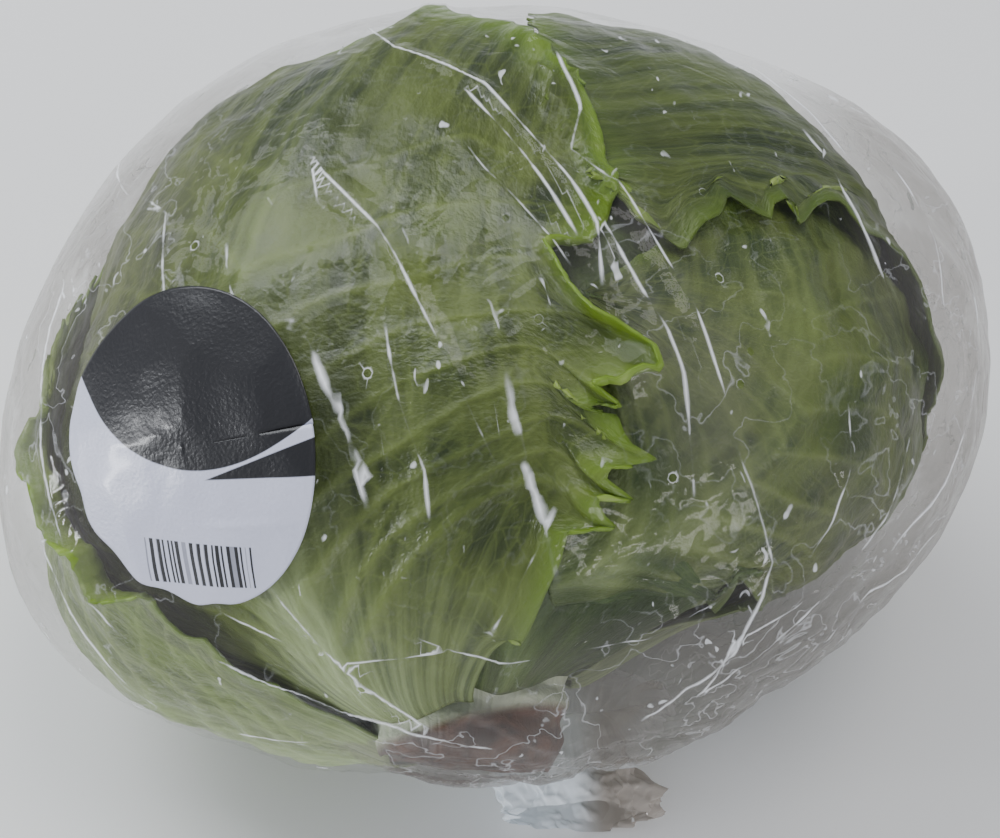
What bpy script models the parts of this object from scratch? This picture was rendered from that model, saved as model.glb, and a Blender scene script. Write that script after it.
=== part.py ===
"""An iceberg lettuce lying on its side in a clear gathered bag that carries an oval label.

Units are metres and +Z is up. The origin is the middle of the flat spot that the bag rests on.
The stem points to -Y and a little down. Every leaf is laid over the ones beneath it, from the heart
outwards, so it drapes on them with a gap and none of them cross.
"""

import math
from dataclasses import dataclass

import bmesh
import bpy
import numpy as np
from mathutils import Vector
from mathutils.bvhtree import BVHTree

# Driving dimensions
HEAD_CENTRE = np.array((0.0, 0.0, 0.066))
HEART_HALVES = (0.079, 0.068, 0.060)
BAG_HALVES = (0.0985, 0.0790, 0.0705)
HEART_POWER = 2.2
BAG_POWER = 2.1
HEART_FLOOR = 0.0130
FLOOR_ROUNDING = 14
FOLD_DEPTH = 0.0022
STEM_SEAT = 0.055
STEM_RADIUS = 0.0175
STEM_FLARE = 0.0180
STEM_LENGTH = 0.0215
CUT_LEAN = math.radians(7)
BLADE = 0.0009
LEAF_GAP = 0.0009
BASE_HOLLOW = 0.012
FILM = 0.00065
FILM_GAP = 0.0006
LABEL_HALF_WIDTH = 0.0275
LABEL_HALF_HEIGHT = 0.0315
LABEL_THICKNESS = 0.0005
LABEL_GAP = 0.00035
LABEL_TILT = math.radians(8)
HOLE_RADIUS = 0.0012
OUTSIDE = 0.3
SETTLING = 4
FINER = 8


def unit(vectors):
    """The vectors made one long."""
    vectors = np.asarray(vectors, float)
    return vectors / np.linalg.norm(vectors, axis=-1, keepdims=True)


# Directions that the whole head is laid out by, from its centre
STEM_AIM = unit((-0.08, -0.948, -0.297))
UPPER_FRONT = unit((0.0, -0.616, 0.788))
FACE = unit(UPPER_FRONT - (UPPER_FRONT @ STEM_AIM) * STEM_AIM)
LEFT_SIDE = np.cross(STEM_AIM, FACE)
GATHER_AIM = unit((0.178, -0.616, -0.767))
GATHER_SIDE = unit(np.array((1.0, 0.0, 0.0)) - GATHER_AIM[0] * GATHER_AIM)
GATHER_RISE = np.cross(GATHER_AIM, GATHER_SIDE)
LABEL_AIM = unit((-0.0510, -0.0440, 0.0400))

# Bulges and dents of the heart and of the bag: direction, height, spread in degrees
HEART_LOBES = (
    ((-0.86, -0.41, -0.32), 0.0100, 24.0),
    ((0.52, -0.68, -0.51), -0.0220, 32.0),
    ((0.00, 0.79, 0.62), 0.0040, 40.0),
    ((-0.39, -0.73, -0.57), -0.0050, 20.0),
    ((-0.94, 0.27, 0.21), -0.0030, 25.0),
)
BAG_LOBES = (
    ((-0.86, -0.41, -0.32), 0.0110, 22.0),
    ((-0.94, 0.27, 0.21), -0.0050, 24.0),
    ((-0.39, -0.73, -0.57), -0.0070, 20.0),
    ((0.79, -0.49, -0.38), -0.0075, 26.0),
    ((0.89, 0.36, 0.28), 0.0045, 20.0),
    ((0.42, 0.71, 0.56), -0.0035, 22.0),
)


def toward(polar, azimuth):
    """The direction at `polar` degrees from the stem and `azimuth` degrees from the upper front."""
    polar, azimuth = math.radians(polar), math.radians(azimuth)
    round_stem = math.cos(azimuth) * FACE + math.sin(azimuth) * LEFT_SIDE
    return math.cos(polar) * STEM_AIM + math.sin(polar) * round_stem


def rounded_body(directions, halves, power, lobes):
    """How far a rounded body reaches in each direction, with its bulges and dents."""
    share = np.abs(directions / np.array(halves)) ** power
    reach = share.sum(axis=-1) ** (-1.0 / power)
    for aim, height, spread in lobes:
        angle = np.degrees(np.arccos(np.clip(directions @ unit(aim), -1.0, 1.0)))
        reach = reach + height * np.exp(-((angle / spread) ** 2))
    return reach


def kept_above(directions, reach, floor):
    """The reach cut back wherever it would go below the height `floor`."""
    down = np.maximum(-directions[..., 2], 1e-6)
    return np.minimum(reach, (HEAD_CENTRE[2] - floor) / down)


def head_base(directions):
    """The smooth surface that the leaves are laid from, flattened underneath."""
    reach = rounded_body(directions, HEART_HALVES, HEART_POWER, HEART_LOBES)
    down = np.maximum(-directions[..., 2], 1e-3)
    limit = (HEAD_CENTRE[2] - HEART_FLOOR) / down
    return (reach**-FLOOR_ROUNDING + limit**-FLOOR_ROUNDING) ** (-1.0 / FLOOR_ROUNDING)


def ripple(x, seed):
    """A smooth wave of uneven lengths, between -1 and 1."""
    return (np.sin(x + seed) + np.sin(1.7 * x + 2.3 * seed) * 0.6 + np.sin(0.6 * x + 4.1 * seed) * 0.5) / 2.1


def tooth(x):
    """A row of pointed teeth with round hollows between them, from -0.5 to 0.5."""
    return 0.5 - np.abs(np.sin(math.pi * x))


def material(name, colour, roughness, alpha=1.0):
    """A Principled material of one colour."""
    made = bpy.data.materials.new(name)
    made.use_nodes = True
    shader = made.node_tree.nodes["Principled BSDF"]
    shader.inputs["Base Color"].default_value = (*colour, 1.0)
    shader.inputs["Roughness"].default_value = roughness
    shader.inputs["Alpha"].default_value = alpha
    made.diffuse_color = (*colour, alpha)
    return made


def add_object(name, mesh, finish):
    """A mesh as a smooth shaded object of the scene."""
    mesh.materials.append(finish)
    mesh.shade_smooth()
    mesh.set_sharp_from_angle(angle=math.radians(50))
    made = bpy.data.objects.new(name, mesh)
    bpy.context.scene.collection.objects.link(made)
    return made


def outward(work):
    """Turns every face of the bmesh outwards."""
    bmesh.ops.recalc_face_normals(work, faces=work.faces)


def closed_sheet(name, outer, inner, finish):
    """One solid from two grids of points: an outer face, an inner face split alike, and the rim."""
    rows, columns = outer.shape[:2]
    count = rows * columns
    index = np.arange(count).reshape(rows, columns)
    corners = (index[:-1, :-1], index[1:, :-1], index[1:, 1:], index[:-1, 1:])
    a, b, c, d = (corner.reshape(-1) for corner in corners)
    face = np.concatenate([np.stack([a, b, c], 1), np.stack([a, c, d], 1)])
    edge = np.concatenate([index[0], index[1:, -1], index[-1, -2::-1], index[-2:0:-1, 0]])
    following = np.roll(edge, -1)
    rim = np.concatenate(
        [
            np.stack([edge, following, following + count], 1),
            np.stack([edge, following + count, edge + count], 1),
        ]
    )
    faces = np.concatenate([face, face[:, ::-1] + count, rim])
    points = np.concatenate([outer.reshape(-1, 3), inner.reshape(-1, 3)])
    mesh = bpy.data.meshes.new(name)
    mesh.from_pydata(points.tolist(), [], faces.tolist())
    work = bmesh.new()
    work.from_mesh(mesh)
    outward(work)
    work.to_mesh(mesh)
    work.free()
    return add_object(name, mesh, finish)


class Pile:
    """What has been laid so far, which the next piece rests on."""

    def __init__(self):
        self.points = []
        self.faces = []
        self.tree = None

    def add(self, made):
        """Adds an object's shape, with its modifiers, to the pile."""
        bpy.context.view_layer.update()
        evaluated = made.evaluated_get(bpy.context.evaluated_depsgraph_get())
        mesh = evaluated.to_mesh()
        first = len(self.points)
        self.points += [vert.co.copy() for vert in mesh.vertices]
        self.faces += [[first + corner for corner in face.vertices] for face in mesh.polygons]
        evaluated.to_mesh_clear()
        self.tree = BVHTree.FromPolygons(self.points, self.faces)

    def top(self, directions):
        """How far the pile reaches in each direction, or 0 where there is nothing."""
        flat = directions.reshape(-1, 3)
        reach = np.zeros(len(flat))
        centre = Vector(HEAD_CENTRE)
        for i, aim in enumerate(flat):
            aim = Vector(aim)
            distance = self.tree.ray_cast(centre + aim * OUTSIDE, -aim)[3]
            if distance is not None:
                reach[i] = OUTSIDE - distance
        return reach.reshape(directions.shape[:-1])

    def settle(self, aims, inner, gap, wraps=False):
        """Raises a grid of reaches until its facets clear the pile by the gap."""
        for _ in range(SETTLING):
            points = aims * inner[..., None]
            if wraps:
                points = np.concatenate([points, points[:, :1]], axis=1)
            fine = between(between(between(points)))
            if wraps:
                fine = fine[:, :-1]
            distance = np.linalg.norm(fine, axis=-1)
            short = np.maximum(self.top(unit(fine)) + gap - distance, 0.0)
            inner = inner + highest_around(short, FINER, wraps)[::FINER, ::FINER]
        return inner


def between(grid):
    """A grid of points with one more between each two, across and along."""
    rows, columns = grid.shape[:2]
    finer = np.empty((2 * rows - 1, 2 * columns - 1, 3))
    finer[::2, ::2] = grid
    finer[1::2, ::2] = (grid[1:] + grid[:-1]) / 2
    finer[:, 1::2] = (finer[:, 2::2] + finer[:, :-2:2]) / 2
    return finer


def highest_around(heights, steps, wraps=False):
    """The highest value within `steps` of each place of a grid, which may close on itself across."""
    padded = np.pad(heights, ((steps, steps), (0, 0)), mode="edge")
    padded = np.pad(padded, ((0, 0), (steps, steps)), mode="wrap" if wraps else "edge")
    rows, columns = heights.shape
    shifts = [
        padded[i : i + rows, j : j + columns]
        for i in range(2 * steps + 1)
        for j in range(2 * steps + 1)
    ]
    return np.max(shifts, axis=0)


def draped(least, passes):
    """The lowest smooth cover of a grid of least heights, as a soft blade lies over steps."""
    height = least.copy()
    for _ in range(passes):
        padded = np.pad(height, 1, mode="edge")
        around = (padded[:-2, 1:-1] + padded[2:, 1:-1] + padded[1:-1, :-2] + padded[1:-1, 2:]) / 4
        height = np.maximum(least, (height + around) / 2)
    return height


@dataclass
class Leaf:
    """One leaf: its midrib's path over the head, its outline, and the relief of its blade."""

    name: str
    path: tuple  # three (polar, azimuth) places in degrees, from base to tip
    half_widths: tuple  # at the base, the widest place and the tip
    sides: tuple = (1.0, 1.0)  # share of the half width on the left and on the right of the midrib
    widest_at: float = 0.5
    rows: int = 12
    columns: int = 10
    tip_round: float = 0.16
    teeth: float = 7.0
    tooth_depth: float = 0.0035
    ruffle: tuple = (0.0, 0.0, 0.0)  # rise of the left, right and tip margins
    rib_height: float = 0.0018
    rib_width: float = 0.0075
    vein_height: float = 0.0009
    seed: float = 1.0

    def middle(self, along):
        """The direction of the midrib at each share of its length."""
        first, second, third = (toward(*place) for place in self.path)
        along = along[..., None]
        point = (
            first * 2 * (along - 0.5) * (along - 1)
            - second * 4 * along * (along - 1)
            + third * 2 * along * (along - 0.5)
        )
        return unit(point)

    def half_width(self, along):
        """The half width at each share of the length."""
        base, widest, tip = self.half_widths
        rising = np.sin(math.pi / 2 * np.clip(along / self.widest_at, 0.0, 1.0)) ** 1.2
        falling = np.clip((along - self.widest_at) / (1 - self.widest_at), 0.0, None) ** 2
        return base + (widest - base) * rising - (widest - tip) * falling

    def directions(self, along, across):
        """The direction of each place of the blade, across being from -1, left, to 1, right."""
        edge = np.abs(across) ** 3
        reach = along * (1 - self.tip_round * across**2) - BASE_HOLLOW * across**2 * (1 - along) ** 6
        reach = reach + self.tooth_depth * 6 * tooth(self.teeth * 0.8 * across + self.seed) * along**8
        step = 1e-3
        middle = self.middle(reach)
        onward = unit(self.middle(reach + step) - self.middle(reach - step))
        sideways = np.cross(onward, middle)
        side = np.where(across < 0, self.sides[0], self.sides[1])
        toothed = self.tooth_depth * tooth(self.teeth * along + self.seed) * edge * np.clip(along * 3, 0, 1)
        turn = (across * self.half_width(along) * side + np.sign(across) * toothed) / HEAD_CENTRE[2]
        turn = turn[..., None]
        return unit(np.cos(turn) * middle + np.sin(turn) * sideways)

    def rise(self, along, across):
        """How far the blade's margins lift off what lies beneath."""
        left, right, tip = self.ruffle
        wave = 0.55 + 0.45 * ripple(along * self.teeth * 3.2, self.seed)
        tip_wave = 0.55 + 0.45 * ripple(across * self.teeth * 1.6, self.seed + 1)
        edges = left * np.clip(-across, 0, 1) ** 4 + right * np.clip(across, 0, 1) ** 4
        return edges * wave * np.clip(along * 2.5, 0, 1) + tip * tip_wave * along**6

    def ribs(self, along, across):
        """The height of the midrib and of the veins that fan out beside it."""
        fading = (1 - along) ** 1.3
        offset = across * self.half_width(along) / (self.rib_width * (0.45 + 0.75 * fading))
        midrib = self.rib_height * (0.25 + fading) * np.exp(-(offset**2))
        fan = 0.5 + 0.5 * np.cos(across * 4.0 * math.pi)
        return midrib + self.vein_height * fan * np.sin(math.pi * np.clip(along * 0.9 + 0.1, 0, 1))

    def build(self, pile, finish):
        """Lays the leaf on the pile and adds it."""
        along, across = np.meshgrid(
            np.linspace(0, 1, self.rows + 1),
            np.linspace(-1, 1, self.columns + 1),
            indexing="ij",
        )
        aims = self.directions(along, across)
        step = np.maximum(pile.top(aims) - head_base(aims), 0.0)
        least = highest_around(step, 1) + LEAF_GAP
        inner = head_base(aims) + draped(least, 10) + self.rise(along, across)
        inner = pile.settle(aims, inner, LEAF_GAP)
        outer = inner + BLADE + self.ribs(along, across)
        made = closed_sheet(
            self.name,
            HEAD_CENTRE + aims * outer[..., None],
            HEAD_CENTRE + aims * inner[..., None],
            finish,
        )
        pile.add(made)


# The leaves from the innermost to the outermost
LEAVES = (
    Leaf(
        "leaf_underside",
        ((18, 172), (85, 172), (152, -176)),
        (0.014, 0.062, 0.050),
        rib_height=0.0012,
        seed=0.4,
    ),
    Leaf("leaf_back", ((18, -146), (90, -150), (164, -172)), (0.014, 0.063, 0.046), seed=1.3),
    Leaf("leaf_left_back", ((18, 128), (90, 126), (172, 150)), (0.014, 0.064, 0.056), seed=2.2),
    Leaf(
        "leaf_inner_front",
        ((18, -12), (82, -14), (150, -30)),
        (0.014, 0.062, 0.048),
        rows=14,
        columns=12,
        ruffle=(0.0, 0.001, 0.0015),
        seed=3.1,
    ),
    Leaf(
        "leaf_right",
        ((30, -40), (66, -44), (108, -36)),
        (0.016, 0.062, 0.046),
        sides=(0.8, 0.86),
        widest_at=0.32,
        rows=18,
        columns=14,
        teeth=8.0,
        tooth_depth=0.0065,
        ruffle=(0.0010, 0.0050, 0.0010),
        rib_height=0.0022,
        seed=0.9,
    ),
    Leaf(
        "leaf_top",
        ((24, -125), (104, -88), (111, -8)),
        (0.015, 0.060, 0.050),
        sides=(0.42, 1.0),
        widest_at=0.70,
        tip_round=0.08,
        rows=20,
        columns=14,
        teeth=8.0,
        tooth_depth=0.0065,
        ruffle=(0.0035, 0.0010, 0.0010),
        rib_height=0.0020,
        seed=3.7,
    ),
    Leaf(
        "leaf_front",
        ((18, 36), (72, 38), (150, 30)),
        (0.015, 0.068, 0.048),
        sides=(1.0, 0.95),
        widest_at=0.40,
        rows=22,
        columns=16,
        tip_round=0.10,
        teeth=10.0,
        tooth_depth=0.0065,
        ruffle=(0.0005, 0.0045, 0.0010),
        rib_height=0.0026,
        rib_width=0.0110,
        vein_height=0.0011,
        seed=1.7,
    ),
    Leaf(
        "leaf_left",
        ((18, 112), (52, 102), (104, 96)),
        (0.016, 0.056, 0.036),
        sides=(1.0, 0.56),
        widest_at=0.55,
        rows=16,
        columns=12,
        teeth=7.0,
        tooth_depth=0.0045,
        ruffle=(0.0010, 0.0040, 0.0015),
        rib_height=0.0042,
        rib_width=0.0130,
        seed=2.6,
    ),
)


def heart(finish):
    """The dense balled leaves inside, with the ridges of their folded edges and a seat for the stem."""
    work = bmesh.new()
    bmesh.ops.create_icosphere(work, subdivisions=4, radius=1.0)
    aims = unit([vert.co[:] for vert in work.verts])
    polar = np.arccos(np.clip(aims @ STEM_AIM, -1, 1))
    azimuth = np.arctan2(aims @ LEFT_SIDE, aims @ FACE)
    folds = np.abs(np.sin(1.5 * azimuth + 2.2 * polar)) * np.sin(polar)
    reach = head_base(aims) - FOLD_DEPTH * folds
    reach = np.minimum(reach, STEM_SEAT / np.maximum(np.cos(polar), 1e-6))
    for vert, aim, distance in zip(work.verts, aims, reach):
        vert.co = Vector(HEAD_CENTRE + aim * distance)
    outward(work)
    mesh = bpy.data.meshes.new("heart")
    work.to_mesh(mesh)
    work.free()
    return add_object("heart", mesh, finish)


def stem(finish):
    """The cut butt: a short flared stump that stands on the heart, with a leaning cut face."""
    profile = (
        (STEM_FLARE, 0.0003),
        (STEM_RADIUS + 0.0004, 0.45 * STEM_LENGTH),
        (STEM_RADIUS, 0.86 * STEM_LENGTH),
        (STEM_RADIUS - 0.0016, STEM_LENGTH),
    )
    segments = 24
    work = bmesh.new()
    side = unit(np.cross(STEM_AIM, (0.0, 0.0, 1.0)))
    rise = np.cross(side, STEM_AIM)
    rings = []
    for radius, height in profile:
        ring = []
        for k in range(segments):
            turn = 2 * math.pi * k / segments
            wobble = 1 + 0.03 * math.sin(3 * turn) + 0.02 * math.sin(5 * turn + 1)
            outwards = (math.cos(turn) * side + math.sin(turn) * rise) * radius * wobble
            lean = math.tan(CUT_LEAN) * radius * math.sin(turn) * (height / STEM_LENGTH) ** 3
            point = HEAD_CENTRE + STEM_AIM * (STEM_SEAT + height + lean) + outwards
            ring.append(work.verts.new(Vector(point)))
        rings.append(ring)
    for lower, upper in zip(rings, rings[1:]):
        for k in range(segments):
            following = (k + 1) % segments
            work.faces.new((lower[k], lower[following], upper[following], upper[k]))
    for ring in (rings[0], rings[-1]):
        work.faces.new(ring)
    bmesh.ops.triangulate(work, faces=work.faces)
    outward(work)
    mesh = bpy.data.meshes.new("stem")
    work.to_mesh(mesh)
    work.free()
    return add_object("stem", mesh, finish)


# The bag's rings
BAG_SEGMENTS = 36
BAG_RINGS = 19
BAG_LAST_ANGLE = math.radians(162)
# Tail of the bag: ring centre, half width, half height
TAIL_RINGS = (
    ((0.0125, -0.0415, 0.0115), 0.0135, 0.0100),
    ((0.0132, -0.0455, 0.0088), 0.0100, 0.0074),
    ((0.0142, -0.0495, 0.0080), 0.0096, 0.0068),
    ((0.0150, -0.0535, 0.0076), 0.0116, 0.0068),
    ((0.0155, -0.0575, 0.0072), 0.0136, 0.0068),
    ((0.0158, -0.0615, 0.0068), 0.0142, 0.0064),
    ((0.0160, -0.0645, 0.0064), 0.0128, 0.0054),
)
# Vent holes of the bag: ring and segment of the face that holds each
HOLES = ((5, 8), (5, 13), (7, 10), (8, 5), (9, 14), (6, 30), (10, 32), (9, 24), (7, 19), (12, 11))


def bag_slack(aims):
    """Pleats and slack of the bag, growing towards the gathered neck."""
    polar = np.arccos(np.clip(-(aims @ GATHER_AIM), -1, 1))
    azimuth = np.arctan2(aims @ GATHER_RISE, aims @ GATHER_SIDE)
    near_neck = np.clip(polar / math.pi, 0, 1) ** 4
    pleats = 0.0016 * near_neck * ripple(7 * azimuth, 0.7)
    broad = 0.0007 * np.sin(polar) * ripple(3 * azimuth + 2 * polar, 2.0)
    return pleats + broad


def free_bag(aims):
    """How far the bag reaches where nothing pushes it out."""
    reach = rounded_body(aims, BAG_HALVES, BAG_POWER, BAG_LOBES) + bag_slack(aims)
    return kept_above(aims, reach, 0.0)


def bag(pile, finish):
    """The film bag: a closed shell round the head, gathered into a crumpled tail that is open at its end."""
    polar, azimuth = np.meshgrid(
        np.linspace(0, BAG_LAST_ANGLE, BAG_RINGS + 1)[1:],
        np.arange(BAG_SEGMENTS) * 2 * math.pi / BAG_SEGMENTS,
        indexing="ij",
    )
    polar, azimuth = polar[..., None], azimuth[..., None]
    round_axis = np.cos(azimuth) * GATHER_SIDE + np.sin(azimuth) * GATHER_RISE
    aims = unit(-np.cos(polar) * GATHER_AIM + np.sin(polar) * round_axis)
    reach = pile.settle(aims, free_bag(aims) - FILM, FILM_GAP, wraps=True) + FILM
    reach = kept_above(aims, reach, 0.0)
    pole = -GATHER_AIM
    pole_reach = float(reach[0].max())
    work = bmesh.new()
    top = work.verts.new(Vector(HEAD_CENTRE + pole * pole_reach))
    rings = [[work.verts.new(Vector(point)) for point in ring] for ring in HEAD_CENTRE + aims * reach[..., None]]
    for number, (centre, half_width, half_height) in enumerate(TAIL_RINGS):
        share = min(1.0, (number + 1) / 3)
        side = unit(GATHER_SIDE * (1 - share) + np.array((1.0, 0.0, 0.0)) * share)
        rise = unit(GATHER_RISE * (1 - share) + np.array((0.0, 0.0, 1.0)) * share)
        ring = []
        for k in range(BAG_SEGMENTS):
            turn = 2 * math.pi * k / BAG_SEGMENTS
            crumple = 1 + 0.10 * math.cos(5 * turn + number) + 0.05 * math.cos(9 * turn - 2 * number)
            point = np.array(centre)
            point = point + side * math.cos(turn) * half_width * crumple
            point = point + rise * math.sin(turn) * half_height * crumple
            ring.append(work.verts.new(Vector((point[0], point[1], max(point[2], 0.0)))))
        rings.append(ring)
    grid = {}
    for k in range(BAG_SEGMENTS):
        following = (k + 1) % BAG_SEGMENTS
        work.faces.new((top, rings[0][k], rings[0][following]))
        for number, (lower, upper) in enumerate(zip(rings, rings[1:])):
            grid[number, k] = work.faces.new((lower[k], upper[k], upper[following], lower[following]))
    pierced = [grid[place] for place in HOLES]
    bmesh.ops.inset_individual(work, faces=pierced, thickness=HOLE_RADIUS)
    for face in pierced:
        middle = face.calc_center_median()
        for vert in face.verts:
            vert.co = middle + (vert.co - middle).normalized() * HOLE_RADIUS
    bmesh.ops.delete(work, geom=pierced, context="FACES_ONLY")
    bmesh.ops.triangulate(work, faces=work.faces)
    outward(work)
    mesh = bpy.data.meshes.new("film_bag")
    work.to_mesh(mesh)
    work.free()
    made = add_object("film_bag", mesh, finish)
    wall = made.modifiers.new("wall", "SOLIDIFY")
    wall.thickness = FILM
    wall.offset = -1.0
    return made


def label(pile, finish):
    """The oval label, lying on the bag."""
    rings, segments = 5, 28
    upright = unit(np.array((0.0, 0.788, 0.616)) - LABEL_AIM * (LABEL_AIM @ (0.0, 0.788, 0.616)))
    across = np.cross(upright, LABEL_AIM)
    share, turn = np.meshgrid(
        np.linspace(0, 1, rings + 1)[1:],
        np.arange(segments) * 2 * math.pi / segments,
        indexing="ij",
    )
    right = LABEL_HALF_WIDTH * share * np.cos(turn)
    up = LABEL_HALF_HEIGHT * share * np.sin(turn)
    x = right * math.cos(LABEL_TILT) + up * math.sin(-LABEL_TILT)
    y = right * math.sin(LABEL_TILT) + up * math.cos(LABEL_TILT)
    near = float(pile.top(LABEL_AIM[None])[0])
    aims = unit(LABEL_AIM * near + x[..., None] * across + y[..., None] * upright)
    least = pile.settle(aims, pile.top(aims) + LABEL_GAP, LABEL_GAP, wraps=True)
    work = bmesh.new()
    faces = []
    for lift in (LABEL_THICKNESS, 0.0):
        middle = work.verts.new(Vector(HEAD_CENTRE + LABEL_AIM * (float(least[0].max()) + lift)))
        reach = HEAD_CENTRE + aims * (least + lift)[..., None]
        verts = [[work.verts.new(Vector(point)) for point in ring] for ring in reach]
        for k in range(segments):
            following = (k + 1) % segments
            work.faces.new((middle, verts[0][k], verts[0][following]))
            for inside, outside in zip(verts, verts[1:]):
                work.faces.new((inside[k], outside[k], outside[following]))
                work.faces.new((inside[k], outside[following], inside[following]))
        faces.append(verts[-1])
    for k in range(segments):
        following = (k + 1) % segments
        work.faces.new((faces[0][k], faces[0][following], faces[1][following], faces[1][k]))
    outward(work)
    mesh = bpy.data.meshes.new("label")
    work.to_mesh(mesh)
    work.free()
    return add_object("label", mesh, finish)


def clear_scene():
    """Removes whatever the scene holds."""
    for old in list(bpy.data.objects):
        bpy.data.objects.remove(old, do_unlink=True)


def main():
    clear_scene()
    leaf_green = material("leaf_green", (0.20, 0.30, 0.08), 0.45)
    heart_green = material("heart_green", (0.45, 0.55, 0.25), 0.5)
    stem_flesh = material("stem_flesh", (0.55, 0.62, 0.42), 0.5)
    clear_film = material("clear_film", (0.85, 0.87, 0.86), 0.15, 0.35)
    label_print = material("label_print", (0.62, 0.64, 0.72), 0.3)
    pile = Pile()
    pile.add(heart(heart_green))
    stem_made = stem(stem_flesh)
    for leaf in LEAVES:
        leaf.build(pile, leaf_green)
    pile.add(stem_made)
    pile.add(bag(pile, clear_film))
    label(pile, label_print)


main()
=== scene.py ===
"""Looks of an iceberg lettuce in a clear gathered bag with a plain oval label.

Units are metres and +Z is up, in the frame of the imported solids. Every surface is laid out by its
direction and its distance from the head's centre, and each piece rests on the ones beneath it.
"""

import logging
import math
from dataclasses import dataclass
from enum import Enum

import bpy
import numpy as np
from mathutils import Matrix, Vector, noise
from mathutils.bvhtree import BVHTree
from mathutils.kdtree import KDTree


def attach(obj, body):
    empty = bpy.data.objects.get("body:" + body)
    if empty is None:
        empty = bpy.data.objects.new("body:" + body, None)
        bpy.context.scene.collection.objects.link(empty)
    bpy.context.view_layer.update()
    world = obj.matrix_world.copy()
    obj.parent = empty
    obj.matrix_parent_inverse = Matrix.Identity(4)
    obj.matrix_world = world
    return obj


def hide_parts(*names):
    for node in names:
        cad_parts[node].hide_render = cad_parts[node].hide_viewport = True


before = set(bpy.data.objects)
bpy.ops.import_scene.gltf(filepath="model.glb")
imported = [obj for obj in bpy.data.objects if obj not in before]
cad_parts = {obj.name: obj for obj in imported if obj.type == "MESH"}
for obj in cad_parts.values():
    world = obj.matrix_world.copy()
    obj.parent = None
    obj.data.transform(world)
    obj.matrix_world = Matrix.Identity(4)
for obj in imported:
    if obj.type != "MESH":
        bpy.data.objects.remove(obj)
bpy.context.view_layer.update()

Socket = bpy.types.NodeSocket
Colour = tuple[float, float, float]
Pixel = tuple[float, float]

LOG = logging.getLogger("lettuce")

# The middle of the head, where every casting of reaches ends, and how far out one starts
HEAD_CENTRE = np.array((0.0, 0.0, 0.066))
OUTSIDE = 0.3
# The sphere on which distances over the head are taken
HEAD_REACH = 0.085
# How far a leaf's base is cut back beside its midrib, as a share of its length
BASE_HOLLOW = 0.012
# Points nearer than this are one
MERGE = 2e-5
# The share of each of the two means that a smoothing takes from the neighbours
NEIGHBOUR_SHARE = 0.3
# The rate, the share of the seed and the height of each wave of a ripple
RIPPLE_WAVES = ((1.0, 1.0, 1.0), (1.7, 2.3, 0.6), (0.6, 4.1, 0.5))
ACROSS_WORLD = np.array((1.0, 0.0, 0.0))
UP_WORLD = np.array((0.0, 0.0, 1.0))


def unit(vectors: np.ndarray) -> np.ndarray:
    """The vectors made one long."""
    vectors = np.asarray(vectors, float)
    return vectors / np.linalg.norm(vectors, axis=-1, keepdims=True)


# The stem's direction, and the upper front and the left side as seen along it
STEM_AIM = unit((-0.08, -0.948, -0.297))
UPPER_FRONT = unit((0.0, -0.616, 0.788))
FACE = unit(UPPER_FRONT - (UPPER_FRONT @ STEM_AIM) * STEM_AIM)
LEFT_SIDE = np.cross(STEM_AIM, FACE)
# The direction in which the film is gathered, and the two across it
GATHER_AIM = unit((0.178, -0.616, -0.767))
GATHER_SIDE = unit(ACROSS_WORLD - GATHER_AIM[0] * GATHER_AIM)
GATHER_RISE = np.cross(GATHER_AIM, GATHER_SIDE)
LABEL_AIM = unit((-0.0510, -0.0440, 0.0400))


def toward(polar: float, azimuth: float) -> np.ndarray:
    """The direction at some degrees from the stem and round it.

    Args:
        polar: The angle from the stem, in degrees.
        azimuth: The angle round it from the upper front, in degrees, positive to the left.

    Returns:
        The direction, one long.
    """
    polar, azimuth = math.radians(polar), math.radians(azimuth)
    round_stem = math.cos(azimuth) * FACE + math.sin(azimuth) * LEFT_SIDE
    return math.cos(polar) * STEM_AIM + math.sin(polar) * round_stem


def ripple(x: np.ndarray, seed: float) -> np.ndarray:
    """A smooth wave of uneven lengths, between -1 and 1."""
    waves = [np.sin(rate * x + shift * seed) * height for rate, shift, height in RIPPLE_WAVES]
    return sum(waves) / sum(height for rate, shift, height in RIPPLE_WAVES)


def tooth(x: np.ndarray) -> np.ndarray:
    """A row of pointed teeth with round hollows between them, from -0.5 to 0.5."""
    return 0.5 - np.abs(np.sin(math.pi * x))


def eased(x: np.ndarray) -> np.ndarray:
    """A smooth step from 0 to 1 as x goes from 0 to 1."""
    x = np.clip(x, 0.0, 1.0)
    return x * x * (3 - 2 * x)


def smoothed(values: np.ndarray, passes: int, wraps: bool = False) -> np.ndarray:
    """A grid of values averaged with their neighbours.

    Args:
        values: The grid.
        passes: How often each value is averaged.
        wraps: Whether the last column lies beside the first.

    Returns:
        The smoother grid.
    """
    for _ in range(passes):
        padded = np.pad(values, ((1, 1), (0, 0)), mode="edge")
        padded = np.pad(padded, ((0, 0), (1, 1)), mode="wrap" if wraps else "edge")
        across = (padded[1:-1, :-2] + padded[1:-1, 2:]) / 2
        along = (padded[:-2, 1:-1] + padded[2:, 1:-1]) / 2
        values = values * (1 - 2 * NEIGHBOUR_SHARE) + (across + along) * NEIGHBOUR_SHARE
    return values


def grain(points: np.ndarray, scale: float, octaves: int = 2, seed: float = 0.0) -> np.ndarray:
    """Smooth noise at each point of a grid, about -1 to 1.

    Args:
        points: The places, in metres.
        scale: How many lumps there are in a metre.
        octaves: How many finer layers are added.
        seed: Moves the pattern.

    Returns:
        The noise, one value a point.
    """
    flat = (points.reshape(-1, 3) * scale + seed).tolist()
    values = [noise.fractal(place, 1.0, 2.0, octaves) for place in flat]
    return np.array(values).reshape(points.shape[:-1])


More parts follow.
